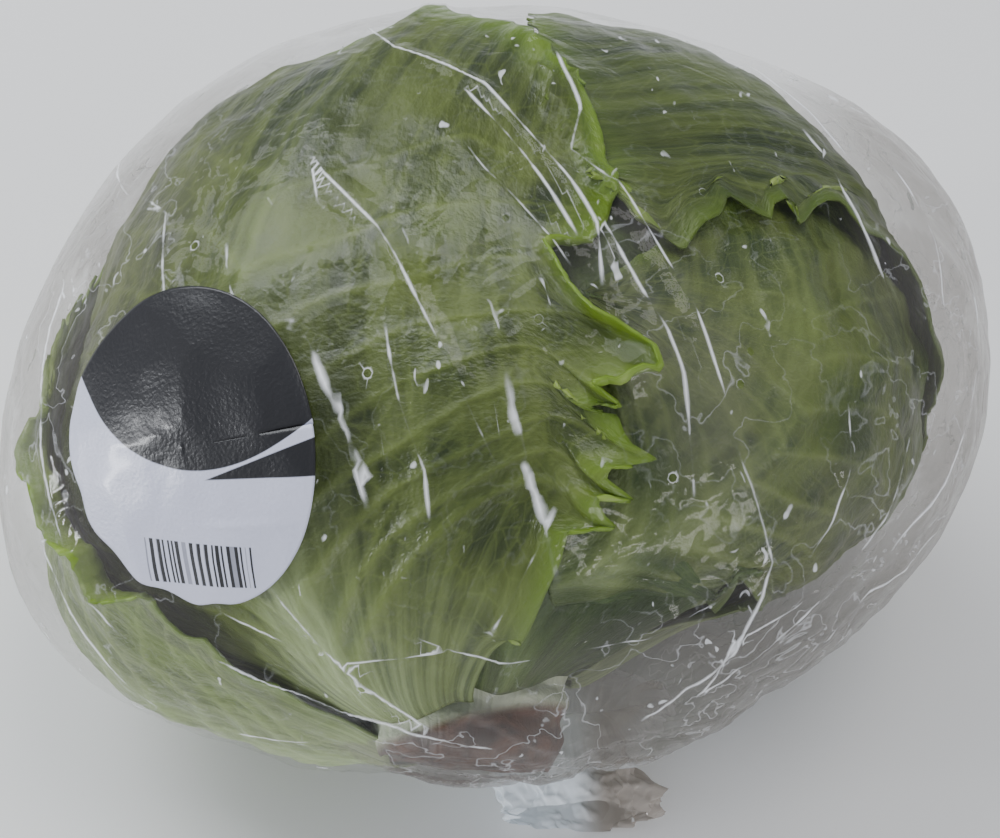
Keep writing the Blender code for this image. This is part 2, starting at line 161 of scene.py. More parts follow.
class Side(Enum):
    """Which side of the midrib a margin is on, as seen from the leaf's base."""

    LEFT = -1
    RIGHT = 1


class Pile:
    """The surfaces laid so far, which the next piece rests on."""

    def __init__(self) -> None:
        """Starts with nothing laid."""
        self.trees: list[BVHTree] = []

    def add(self, points: np.ndarray, wraps: bool = False) -> None:
        """Adds a grid of points as a surface.

        Args:
            points: The grid.
            wraps: Whether its last column joins its first.
        """
        rows, columns = points.shape[:2]
        index = np.arange(rows * columns).reshape(rows, columns)
        if wraps:
            index = np.concatenate([index, index[:, :1]], axis=1)
        faces = np.stack([index[:-1, :-1], index[:-1, 1:], index[1:, 1:], index[1:, :-1]], -1)
        places = points.reshape(-1, 3).tolist()
        self.trees.append(BVHTree.FromPolygons(places, faces.reshape(-1, 4).tolist()))

    def reach(self, aims: np.ndarray) -> np.ndarray:
        """How far the pile reaches from the head's centre in each direction, or 0."""
        return np.max([cast(tree, aims, 0.0) for tree in self.trees], axis=0)


def cast(tree: BVHTree, aims: np.ndarray, missing: float) -> np.ndarray:
    """How far a surface reaches from the head's centre in each direction.

    Args:
        tree: The surface.
        aims: The directions.
        missing: The value where there is no surface.

    Returns:
        The distances.
    """
    centre = Vector(HEAD_CENTRE)
    flat = aims.reshape(-1, 3)
    reach = np.full(len(flat), missing)
    for i, aim in enumerate(flat.tolist()):
        aim = Vector(aim)
        distance = tree.ray_cast(centre + aim * OUTSIDE, -aim, OUTSIDE)[3]
        if distance is not None:
            reach[i] = OUTSIDE - distance
    return reach.reshape(aims.shape[:-1])


def node_tree(*names: str) -> BVHTree:
    """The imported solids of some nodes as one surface.

    Args:
        *names: The nodes' names.

    Returns:
        The surface.
    """
    points, faces = [], []
    for name in names:
        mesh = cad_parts[name].data
        first = len(points)
        points += [vert.co.copy() for vert in mesh.vertices]
        faces += [[first + corner for corner in face.vertices] for face in mesh.polygons]
    return BVHTree.FromPolygons(points, faces)


@dataclass(frozen=True)
class Picture:
    """The photograph's view: where the camera stands and what each place of the picture looks at."""

    elevation: float = math.radians(52)
    distance: float = 0.472
    lens: float = 85.0
    sensor: float = 36.0
    width: int = 1000
    height: int = 838
    head_at: Pixel = (499.0, 386.0)

    def upward(self) -> np.ndarray:
        """The world direction of the picture's up."""
        return np.array((0.0, math.sin(self.elevation), math.cos(self.elevation)))

    def eye(self) -> np.ndarray:
        """Where the camera stands."""
        toward_eye = np.array((0.0, -math.cos(self.elevation), math.sin(self.elevation)))
        return HEAD_CENTRE + self.distance * toward_eye

    def ray(self, place: Pixel) -> np.ndarray:
        """The direction in which a place of the picture is seen.

        Args:
            place: The pixel, from the picture's upper left corner.

        Returns:
            The direction, one long.
        """
        focal = self.lens / self.sensor * self.width
        onward = unit(HEAD_CENTRE - self.eye())
        right = ACROSS_WORLD * (place[0] - self.head_at[0]) / focal
        return unit(onward + right - self.upward() * (place[1] - self.head_at[1]) / focal)

    def aim(self, tree: BVHTree, place: Pixel) -> np.ndarray:
        """The direction from the head's centre of what a place of the picture shows.

        Args:
            tree: The surface that is looked at.
            place: The pixel.

        Returns:
            The direction, taken where the sight line passes nearest if it misses the surface.
        """
        eye = self.eye()
        ray = self.ray(place)
        hit = tree.ray_cast(Vector(eye), Vector(ray))[0]
        if hit is None:
            hit = eye + ray * float((HEAD_CENTRE - eye) @ ray)
        return unit(np.array(hit) - HEAD_CENTRE)

    def place_camera(self) -> None:
        """Adds the camera and makes it the scene's."""
        data = bpy.data.cameras.new("photo_view")
        data.lens = self.lens
        data.sensor_width = self.sensor
        data.shift_x = (self.width / 2 - self.head_at[0]) / self.width
        data.shift_y = (self.head_at[1] - self.height / 2) / self.width
        camera = bpy.data.objects.new("photo_view", data)
        camera.location = self.eye()
        camera.rotation_euler = (math.pi / 2 - self.elevation, 0.0, 0.0)
        bpy.context.scene.collection.objects.link(camera)
        bpy.context.scene.camera = camera


PICTURE = Picture()


def merge_points(made: bpy.types.Object) -> None:
    """Merges a piece's points that fall together, at a seam or a pole, and turns its faces outwards.

    Args:
        made: The piece.
    """
    bpy.context.view_layer.objects.active = made
    bpy.ops.object.mode_set(mode="EDIT")
    bpy.ops.mesh.select_all(action="SELECT")
    bpy.ops.mesh.remove_doubles(threshold=MERGE)
    bpy.ops.mesh.normals_make_consistent(inside=False)
    bpy.ops.object.mode_set(mode="OBJECT")


def laid_grid(name: str, points: np.ndarray) -> bpy.types.Object:
    """Adds a grid at its place and shapes it to the given points.

    Args:
        name: The piece's name.
        points: A grid of points, rows by columns.

    Returns:
        The new object, at the origin.
    """
    rows, columns = points.shape[:2]
    bpy.ops.object.select_all(action="DESELECT")
    bpy.ops.mesh.primitive_grid_add(x_subdivisions=columns - 1, y_subdivisions=rows - 1, size=1.0)
    made = bpy.context.active_object
    made.name = name
    made.data.name = name
    made.data.vertices.foreach_set("co", points.reshape(-1).astype(np.float32))
    made.data.update()
    bpy.ops.object.shade_smooth()
    return made


def set_values(made: bpy.types.Object, name: str, values: np.ndarray) -> None:
    """Stores one value at each point of a piece, for its finish to read."""
    attribute = made.data.attributes.new(name, "FLOAT", "POINT")
    attribute.data.foreach_set("value", values.reshape(-1).astype(np.float32))


def thicken(made: bpy.types.Object, thickness: float, inner_slot: int = 0) -> None:
    """Gives a sheet its thickness, inwards, and applies it.

    Args:
        made: The sheet.
        thickness: How thick it becomes.
        inner_slot: How many material slots further on the inner face's finish is.
    """
    bpy.context.view_layer.objects.active = made
    bpy.ops.object.modifier_add(type="SOLIDIFY")
    wall = made.modifiers[-1]
    wall.thickness = thickness
    wall.offset = -1.0
    wall.material_offset = inner_slot
    bpy.ops.object.modifier_apply(modifier=wall.name)


class Graph:
    """A material's nodes, added one at a time."""

    def __init__(self, name: str) -> None:
        """Makes an empty material.

        Args:
            name: The material's name.
        """
        self.material = bpy.data.materials.new(name)
        self.material.use_nodes = True
        self.tree = self.material.node_tree
        self.tree.nodes.clear()
        self.output = self.add("OutputMaterial")
        self.place = self.add("TexCoord").outputs["Object"]

    def add(self, kind: str, sockets: dict | None = None, **settings: str) -> bpy.types.Node:
        """Adds a node.

        Args:
            kind: The node's kind, without its usual prefix.
            sockets: What each input holds: a value, or an output to link.
            **settings: The node's own settings.

        Returns:
            The node.
        """
        made = self.tree.nodes.new("ShaderNode" + kind)
        for name, value in settings.items():
            setattr(made, name, value)
        for key, value in (sockets or {}).items():
            if isinstance(value, Socket):
                self.tree.links.new(value, made.inputs[key])
            else:
                made.inputs[key].default_value = value
        return made

    def attribute(self, name: str) -> Socket:
        """A value stored at the piece's points."""
        return self.add("Attribute", attribute_name=name).outputs["Fac"]

    def uv(self) -> Socket:
        """The piece's own map."""
        return self.add("TexCoord").outputs["UV"]

    def noise(
        self, scale: float, detail: float = 2.0, distortion: float = 0.0, vector: Socket | None = None
    ) -> Socket:
        """Cloudy noise from 0 to 1.

        Args:
            scale: How many lumps there are in a metre.
            detail: How many finer layers are added.
            distortion: How much the lumps are twisted.
            vector: Where it is read, or None for the place on the piece.

        Returns:
            The noise.
        """
        sockets = {
            "Vector": vector or self.place,
            "Scale": scale,
            "Detail": detail,
            "Distortion": distortion,
        }
        return self.add("TexNoise", sockets).outputs["Fac"]

    def flat_noise(self, vector: Socket, detail: float) -> Socket:
        """Cloudy noise from 0 to 1 over a piece's own map."""
        sockets = {"Vector": vector, "Scale": 1.0, "Detail": detail}
        return self.add("TexNoise", sockets, noise_dimensions="2D").outputs["Fac"]

    def warped(self, vector: Socket, amount: float) -> Socket:
        """A vector pushed about by noise.

        Args:
            vector: The vector.
            amount: How far it is pushed.

        Returns:
            The pushed vector.
        """
        sockets = {"Vector": vector, "Scale": 0.5, "Detail": 1.0}
        push = self.add("TexNoise", sockets, noise_dimensions="2D")
        sockets = {0: push.outputs["Color"], 1: (amount, amount, 0.0), 2: vector}
        return self.add("VectorMath", sockets, operation="MULTIPLY_ADD").outputs[0]

    def cells(self, vector: Socket) -> Socket:
        """The distance to the edge of a net of cells over a piece's own map."""
        sockets = {"Vector": vector, "Scale": 1.0}
        made = self.add("TexVoronoi", sockets, feature="DISTANCE_TO_EDGE", voronoi_dimensions="2D")
        return made.outputs["Distance"]

    def stretched(self, vector: Socket, scale: tuple[float, float, float]) -> Socket:
        """A vector with each part scaled by its own amount."""
        return self.add("Mapping", {"Vector": vector, "Scale": scale}).outputs["Vector"]

    def span(
        self, value: Socket, low: float, high: float, to_low: float = 0.0, to_high: float = 1.0
    ) -> Socket:
        """A value taken from one span to another, clamped.

        Args:
            value: The value.
            low: Where the first span starts.
            high: Where it ends.
            to_low: What its start becomes.
            to_high: What its end becomes.

        Returns:
            The value in the second span.
        """
        sockets = {"Value": value, "From Min": low, "From Max": high, "To Min": to_low, "To Max": to_high}
        return self.add("MapRange", sockets).outputs["Result"]

    def maths(self, operation: str, first: Socket | float, second: Socket | float = 0.0) -> Socket:
        """The outcome of a sum of two values, or of one."""
        return self.add("Math", {0: first, 1: second}, operation=operation).outputs[0]

    def mixed(self, share: Socket | float, first: Socket | Colour, second: Socket | Colour) -> Socket:
        """Two colours mixed.

        Args:
            share: The second colour's share.
            first: The first colour.
            second: The second colour.

        Returns:
            The mixed colour.
        """
        first = (*first, 1.0) if isinstance(first, tuple) else first
        second = (*second, 1.0) if isinstance(second, tuple) else second
        return self.add("Mix", {0: share, 6: first, 7: second}, data_type="RGBA").outputs[2]

    def blended(
        self, share: Socket | float, first: bpy.types.Node, second: bpy.types.Node
    ) -> bpy.types.Node:
        """Two shaders mixed by the second one's share."""
        return self.add("MixShader", {0: share, 1: first.outputs[0], 2: second.outputs[0]})

    def bump(self, height: Socket, distance: float, strength: float) -> Socket:
        """A normal bumped by a height, over a distance in metres."""
        sockets = {"Height": height, "Distance": distance, "Strength": strength}
        return self.add("Bump", sockets).outputs["Normal"]

    def finish(self, shader: bpy.types.Node) -> bpy.types.Material:
        """Sends a shader to the output and gives the material."""
        self.tree.links.new(shader.outputs[0], self.output.inputs["Surface"])
        return self.material


@dataclass(frozen=True)
class LeafFinish:
    """Crisp leaf: mottled green, streaks, a net of veins, fleshy pale ribs, a bright margin and patches of
    painted shade.

    The scales of streaks, mottles, net and pores are counts over the leaf's own map.
    """

    name: str
    blade: Colour = (0.064, 0.090, 0.006)
    shade: Colour = (0.016, 0.028, 0.002)
    vein: Colour = (0.155, 0.205, 0.040)
    rib: Colour = (0.34, 0.42, 0.20)
    rim: Colour = (0.14, 0.24, 0.010)
    roughness: tuple[float, float] = (0.32, 0.52)
    specular: float = 0.45
    streaks: tuple[float, float, float] = (36.0, 3.0, 1.0)
    streak_span: tuple[float, float] = (0.38, 0.66)
    streak_share: float = 0.42
    mottles: tuple[float, float, float] = (9.0, 11.0, 1.0)
    mottle_span: tuple[float, float] = (0.36, 0.64)
    net: tuple[float, float, float] = (26.0, 32.0, 1.0)
    net_warp: float = 0.8
    net_width: float = 0.08
    net_share: float = 0.26
    pores: tuple[float, float, float] = (120.0, 140.0, 1.0)
    pore_depth: float = 0.0004
    pale_share: float = 0.75
    rim_share: float = 0.85
    painted_shade_share: float = 0.85
    flesh_least: float = 0.45

    def material(self) -> bpy.types.Material:
        """Builds the nodes of the finish."""
        graph = Graph(self.name)
        leaf_map = graph.uv()
        streaks = graph.flat_noise(graph.stretched(leaf_map, self.streaks), 3.0)
        streaks = graph.span(streaks, *self.streak_span)
        mottles = graph.flat_noise(graph.stretched(leaf_map, self.mottles), 4.0)
        mottles = graph.span(mottles, *self.mottle_span)
        colour = graph.mixed(mottles, self.shade, self.blade)
        colour = graph.mixed(graph.maths("MULTIPLY", streaks, self.streak_share), colour, self.vein)
        edges = graph.cells(graph.warped(graph.stretched(leaf_map, self.net), self.net_warp))
        net = graph.span(edges, 0.0, self.net_width, self.net_share, 0.0)
        colour = graph.mixed(net, colour, self.vein)
        pale = graph.maths("MULTIPLY", graph.attribute("pale"), self.pale_share)
        colour = graph.mixed(pale, colour, self.vein)
        rim = graph.maths("MULTIPLY", graph.attribute("rim"), self.rim_share)
        colour = graph.mixed(rim, colour, self.rim)
        colour = graph.mixed(graph.attribute("vein"), colour, self.vein)
        fleshy = graph.span(streaks, 0.0, 1.0, self.flesh_least, 1.0)
        colour = graph.mixed(graph.maths("MULTIPLY", graph.attribute("rib"), fleshy), colour, self.rib)
        # Painted shade: the dark patches pull the colour towards the shade green
        dark = graph.maths("MULTIPLY", graph.attribute("dark"), self.painted_shade_share)
        colour = graph.mixed(dark, colour, self.shade)
        pores = graph.flat_noise(graph.stretched(leaf_map, self.pores), 2.0)
        sockets = {
            "Base Color": colour,
            "Roughness": graph.span(mottles, 0.0, 1.0, *self.roughness),
            "Specular IOR Level": self.specular,
            "Normal": graph.bump(pores, self.pore_depth, 0.5),
        }
        return graph.finish(graph.add("BsdfPrincipled", sockets))


@dataclass(frozen=True)
class StemFinish:
    """Pale wet flesh with fibres along it and a browned cut face."""

    name: str = "stem_flesh"
    flesh: Colour = (0.66, 0.72, 0.55)
    green: Colour = (0.40, 0.50, 0.22)
    brown: Colour = (0.040, 0.014, 0.008)
    rust: Colour = (0.16, 0.050, 0.015)
    roughness: tuple[float, float] = (0.34, 0.60)
    fibre_scale: float = 60.0
    fibre_stretch: tuple[float, float, float] = (1.0, 0.05, 1.0)
    fibre_share: float = 0.35
    stain_scale: float = 170.0
    patch_scale: float = 80.0
    depth: float = 0.0008

    def material(self) -> bpy.types.Material:
        """Builds the nodes of the finish."""
        graph = Graph(self.name)
        fibres = graph.noise(self.fibre_scale, 3.0, 0.4, graph.stretched(graph.uv(), self.fibre_stretch))
        colour = graph.mixed(graph.span(fibres, 0.4, 0.7, 0.0, self.fibre_share), self.flesh, self.green)
        stained = graph.span(graph.noise(self.stain_scale, 4.0, 0.8), 0.34, 0.70)
        browned = graph.mixed(stained, self.brown, self.rust)
        patches = graph.span(graph.noise(self.patch_scale, 3.0), 0.20, 0.38, 0.80, 1.0)
        colour = graph.mixed(graph.maths("MULTIPLY", graph.attribute("cut"), patches), colour, browned)
        sockets = {
            "Base Color": colour,
            "Roughness": graph.span(stained, 0.0, 1.0, *self.roughness),
            "Normal": graph.bump(graph.maths("ADD", stained, fibres), self.depth, 0.7),
        }
        return graph.finish(graph.add("BsdfPrincipled", sockets))


@dataclass(frozen=True)
class FilmFinish:
    """Thin clear film: see-through and glossy, painted white glints along its creases, milky where
    gathered.
    """

    name: str = "clear_film"
    tint: Colour = (0.965, 0.965, 0.96)
    slack_tint: Colour = (0.71, 0.69, 0.67)
    shaded_milk: Colour = (0.40, 0.36, 0.32)
    milk: Colour = (0.86, 0.92, 0.97)
    milk_share: float = 0.80
    grey: Colour = (0.40, 0.38, 0.36)
    grey_share: float = 0.22
    # The colour of the painted glints
    glint: tuple[float, float, float, float] = (0.95, 0.97, 1.0, 1.0)
    shadow: tuple[float, float, float, float] = (0.90, 0.90, 0.90, 1.0)
    roughness: float = 0.07
    gloss: tuple[float, float] = (0.012, 0.50)
    gloss_power: float = 5.0
    crumple_scale: float = 85.0
    crinkle_depth: float = 0.0016
    crinkle_glint_width: float = 0.010
    crinkle_glint_shares: tuple[float, float] = (0.03, 0.30)
    # The painted glints along the creases: their width, how much it varies and how faint they may fade
    crease_width: float = 0.00030
    crease_widths: tuple[float, float] = (0.35, 2.6)
    crease_least: float = 0.05
    sparkle_scale: tuple[float, float, float] = (330.0, 180.0, 240.0)
    sparkle_span: tuple[float, float] = (0.80, 0.86)
    sparkle_share: float = 0.6

    def glints(self, graph: Graph, crumpled: Socket, crinkle: Socket, slack: Socket) -> Socket:
        """How much painted glint whitens the film along its creases, crinkles and sparkles.

        Args:
            graph: The material's nodes.
            crumpled: The noise that the film is crumpled by.
            crinkle: The distance from the noise's middle level, where the crinkles run.
            slack: How slack the film is.

        Returns:
            The share of painted glint white, from 0 to 1.
        """
        # Painted glints along the creases and round the vent holes
        away = graph.maths("ABSOLUTE", graph.attribute("crease_side"))
        away = graph.maths("DIVIDE", away, graph.span(crumpled, 0.36, 0.64, *self.crease_widths))
        line = graph.span(away, 0.0, self.crease_width, 1.0, 0.0)
        line = graph.maths("MULTIPLY", line, graph.attribute("glint_strength"))
        line = graph.maths("MULTIPLY", line, graph.span(crumpled, 0.43, 0.55, self.crease_least, 1.0))
        # Painted glints along the crinkles of slack film
        creased = graph.span(crinkle, 0.0, self.crinkle_glint_width, 1.0, 0.0)
        creased = graph.maths("MULTIPLY", creased, graph.span(slack, 0.0, 1.0, *self.crinkle_glint_shares))
        # Painted glints: small white sparkles
        sparkles = graph.noise(1.0, 0.0, 1.2, graph.stretched(graph.place, self.sparkle_scale))
        sparkles = graph.span(sparkles, *self.sparkle_span, 0.0, self.sparkle_share)
        return graph.maths("MAXIMUM", line, graph.maths("MAXIMUM", sparkles, creased))

    def material(self) -> bpy.types.Material:
        """Builds the nodes of the finish."""
        graph = Graph(self.name)
        gathered = graph.attribute("gathered")
        slack = graph.attribute("slack")
        crumpled = graph.noise(self.crumple_scale, 3.0, 0.4)
        crinkle = graph.maths("ABSOLUTE", graph.maths("SUBTRACT", crumpled, 0.5))
        normal = graph.bump(crinkle, self.crinkle_depth, 0.9)
        clear = graph.add("BsdfTransparent", {"Color": graph.mixed(slack, self.tint, self.slack_tint)})
        milk = graph.mixed(graph.attribute("shaded"), self.milk, self.shaded_milk)
        milk = graph.mixed(gathered, self.grey, milk)
        white = graph.add("BsdfDiffuse", {"Color": milk, "Normal": normal})
        haze = graph.maths("MULTIPLY", gathered, self.milk_share)
        haze = graph.maths("ADD", haze, graph.maths("MULTIPLY", slack, self.grey_share))
        body = graph.blended(haze, clear, white)
        # Painted glints: a flat white laid over the film where the glint mask is high
        glint = graph.add("BsdfDiffuse", {"Color": self.glint})
        body = graph.blended(self.glints(graph, crumpled, crinkle, slack), body, glint)
        gloss = graph.add("BsdfGlossy", {"Roughness": self.roughness, "Normal": normal})
        gloss.inputs["Color"].default_value = (1.0, 1.0, 1.0, 1.0)
        facing = graph.add("LayerWeight", {"Blend": 0.5, "Normal": normal}).outputs["Facing"]
        share = graph.span(graph.maths("POWER", facing, self.gloss_power), 0.0, 1.0, *self.gloss)
        shadow = graph.add("BsdfTransparent", {"Color": self.shadow})
        lit = graph.add("LightPath").outputs["Is Shadow Ray"]
        return graph.finish(graph.blended(lit, graph.blended(share, body, gloss), shadow))


@dataclass(frozen=True)
class LabelFinish:
    """Glossy paper sticker: dark cap, pale field, one plain band and a block of plain bars.

    Places on it run from -1 to 1 across and up.
    """

    name: str = "label_print"
    dark: Colour = (0.008, 0.008, 0.010)
    pale: Colour = (0.60, 0.62, 0.76)
    paper_shade: float = 0.93
    paper_scale: float = 900.0
    blur: float = 0.004
    cap_low: float = 0.127
    cap_curve: float = 0.437
    wedge_tip: tuple[float, float] = (0.175, -0.17)
    wedge_slopes: tuple[float, float] = (0.10, 0.40)
    bars: float = 34.0
    block_middle: float = 0.095
    block_half: tuple[float, float] = (0.42, 0.43)
    block_top: tuple[float, float] = (-0.56, -0.555)
    block_foot: tuple[float, float] = (-0.84, -0.835)
    roughness: float = 0.34
    coat: float = 0.22
    coat_roughness: float = 0.12
    grain_scale: float = 1400.0
    grain_depth: float = 0.00012

    def wedge(self, graph: Graph, across: Socket, upward: Socket) -> Socket:
        """Where the plain dark wedge is.

        Args:
            graph: The material's nodes.
            across: The place across the label.
            upward: The place up the label.

        Returns:
            Its share, 0 or 1 with a narrow blur.
        """
        beyond = graph.maths("SUBTRACT", across, self.wedge_tip[0])
        above = graph.maths("SUBTRACT", upward, self.wedge_tip[1])
        over = graph.maths("SUBTRACT", above, graph.maths("MULTIPLY", beyond, self.wedge_slopes[0]))
        under = graph.maths("SUBTRACT", above, graph.maths("MULTIPLY", beyond, self.wedge_slopes[1]))
        below = graph.span(under, -self.blur, self.blur, 1.0, 0.0)
        return graph.maths("MULTIPLY", graph.span(over, -self.blur, self.blur), below)

    def barred(self, graph: Graph, across: Socket, upward: Socket) -> Socket:
        """Where the bars of the plain block are.

        Args:
            graph: The material's nodes.
            across: The place across the label.
            upward: The place up the label.

        Returns:
            Their share, 0 or 1 with a narrow blur.
        """
        only_across = graph.stretched(graph.add("CombineXYZ", {0: across}).outputs[0], (1.0, 0.0, 0.0))
        sockets = {"Vector": only_across, "Scale": self.bars, "Detail": 0.0}
        inked = graph.span(graph.add("TexNoise", sockets).outputs["Fac"], 0.49, 0.51)
        beside = graph.maths("ABSOLUTE", graph.maths("SUBTRACT", across, self.block_middle))
        block = graph.span(beside, *self.block_half, 1.0, 0.0)
        block = graph.maths("MULTIPLY", block, graph.span(upward, *self.block_top, 1.0, 0.0))
        block = graph.maths("MULTIPLY", block, graph.span(upward, *self.block_foot))
        return graph.maths("MULTIPLY", inked, block)

    def material(self) -> bpy.types.Material:
        """Builds the nodes of the finish."""
        graph = Graph(self.name)
        across = graph.attribute("print_x")
        upward = graph.attribute("print_y")
        shaded = tuple(self.paper_shade * part for part in self.pale)
        paper = graph.mixed(graph.noise(self.paper_scale, 3.0), self.pale, shaded)
        arc = graph.maths("MULTIPLY", graph.maths("MULTIPLY", across, across), self.cap_curve)
        edge = graph.maths("SUBTRACT", graph.maths("ADD", upward, self.cap_low), arc)
        colour = graph.mixed(graph.span(edge, -self.blur, self.blur), paper, self.dark)
        colour = graph.mixed(self.wedge(graph, across, upward), colour, self.dark)
        colour = graph.mixed(self.barred(graph, across, upward), colour, self.dark)
        sockets = {
            "Base Color": colour,
            "Roughness": self.roughness,
            "Coat Weight": self.coat,
            "Coat Roughness": self.coat_roughness,
            "Normal": graph.bump(graph.noise(self.grain_scale, 2.0), self.grain_depth, 0.8),
        }
        return graph.finish(graph.add("BsdfPrincipled", sockets))


@dataclass(frozen=True)
class PaperFinish:
    """The sticker's white back, faintly fibrous, as it shows through the bag from behind."""

    name: str = "label_back"
    pale: Colour = (0.66, 0.67, 0.68)
    fibre: Colour = (0.56, 0.57, 0.58)
    fibre_scale: float = 700.0
    fibre_depth: float = 0.0001
    roughness: float = 0.55

    def material(self) -> bpy.types.Material:
        """Builds the nodes of the finish."""
        graph = Graph(self.name)
        fibres = graph.noise(self.fibre_scale, 4.0, 0.6)
        sockets = {
            "Base Color": graph.mixed(fibres, self.pale, self.fibre),
            "Roughness": self.roughness,
            "Normal": graph.bump(fibres, self.fibre_depth, 0.6),
        }
        return graph.finish(graph.add("BsdfPrincipled", sockets))


@dataclass(frozen=True)
class Guide:
    """A stretch of a leaf's margin as the photograph shows it."""

    side: Side
    along: tuple[float, float]  # the shares of the leaf's length between which it runs
    places: tuple[tuple[int, int], ...]  # pixels of the photograph, from base to tip
    spread: float = 0.3  # share of the width over which the blade follows


@dataclass(frozen=True)
class Curl:
    """A stretch of a margin that rolls outwards."""

    side: Side
    along: tuple[float, float]  # the shares of the leaf's length between which it rolls
    width: float = 0.008  # how much of the blade rolls, in metres
    turn: float = 2.6  # how far it rolls, in radians


@dataclass(frozen=True)
class Patch:
    """A part of a leaf that is painted darker than the rest of it, as painted shade, or painted paler."""

    place: tuple[int, int]  # pixel of the photograph
    size: float  # in metres
    share: float


# The margins that the photograph shows, in its pixels, from the leaf's base to its tip
FRONT_MARGIN = (
    (520, 625), (540, 590), (555, 552), (567, 526), (579, 518), (592, 515), (609, 517), (598, 507),
    (595, 499), (602, 491), (612, 488), (624, 491), (614, 483), (603, 475), (604, 468), (610, 462),
    (622, 458), (645, 453), (629, 442), (622, 432), (617, 414), (600, 412), (590, 406), (606, 402),
    (630, 406), (616, 396), (612, 390), (641, 387), (652, 380), (658, 376), (651, 358), (641, 340),
    (625, 333), (614, 328), (596, 311), (584, 293), (577, 280), (568, 268), (572, 256), (588, 246),
    (600, 232), (606, 214), (608, 192), (606, 170), (600, 145), (592, 118), (582, 92),
)
RIGHT_MARGIN = (
    (598, 590), (616, 584), (628, 572), (639, 582), (648, 566), (672, 560), (690, 572),
    (700, 592), (712, 611), (726, 600), (742, 580), (752, 590), (765, 634), (778, 612), (790, 606),
    (798, 590), (818, 584), (842, 572), (865, 561), (900, 540), (925, 512), (945, 480), (958, 445),
    (966, 410), (966, 370), (958, 330), (944, 295), (925, 265),
)
TOP_MARGIN = (
    (935, 330), (925, 290), (905, 262), (880, 240), (858, 234), (846, 222), (834, 206), (822, 203),
    (810, 210), (803, 222), (797, 226), (790, 208), (782, 200), (770, 206), (759, 226), (747, 208),
    (731, 200), (714, 206), (706, 226), (690, 233), (677, 256), (655, 240), (640, 225), (620, 200),
)


@dataclass(frozen=True)
class VeinNet:
    """The side veins of a leaf, which leave the midrib, fork and fade towards the margins.

    Places on it are a share of the leaf's length and a share of its half width.
    """

    count: int = 9
    length: float = 0.145
    first: float = 0.02
    spread: float = 0.80
    crowding: float = 1.15
    bend: float = 0.42
    straightening: float = 0.22
    wander: float = 0.012
    width: float = 0.0013
    least_width: float = 0.00035
    steps: int = 90
    forks: tuple[float, ...] = (0.22, 0.42, 0.62, 0.80)
    fork_reach: float = 0.30
    fork_bend: float = 0.55
    fork_lean: float = 0.055
    fork_width: float = 0.6
    fork_steps: int = 36

    def lines(self, seed: float) -> tuple[np.ndarray, np.ndarray]:
        """The courses of the veins.

        Args:
            seed: Moves their bends.

        Returns:
            The places along them, and the width at each place, in metres.
        """
        places, widths = [], []
        u = np.linspace(0.0, 1.0, self.steps)
        v = np.linspace(0.0, 1.0, self.fork_steps)
        for side in (-1, 1):
            for k in range(self.count):
                start = self.first + self.spread * (k / self.count) ** self.crowding
                bend = self.bend - self.straightening * k / self.count
                wander = self.wander * ripple(9 * u, seed + k * 1.7 + side)
                line = start + bend * u**0.85 * (1 - 0.25 * u) + wander
                width = self.width * (1 - start) * (1 - 0.75 * u) + self.least_width
                places.append(np.stack([line, side * u], -1))
                widths.append(width)
                for j, fork in enumerate(self.forks):
                    turn = 1 if (j + k) % 2 else -1
                    reach = self.fork_reach * (1 - 0.4 * fork)
                    course = self.fork_bend * (1 + turn) * bend * reach * v + turn * self.fork_lean * v**1.4
                    branch = np.interp(fork, u, line) + course
                    places.append(np.stack([branch, side * (fork + reach * v * 0.8)], -1))
                    widths.append(np.interp(fork, u, width) * self.fork_width * (1 - 0.6 * v))
        return np.concatenate(places), np.concatenate(widths)


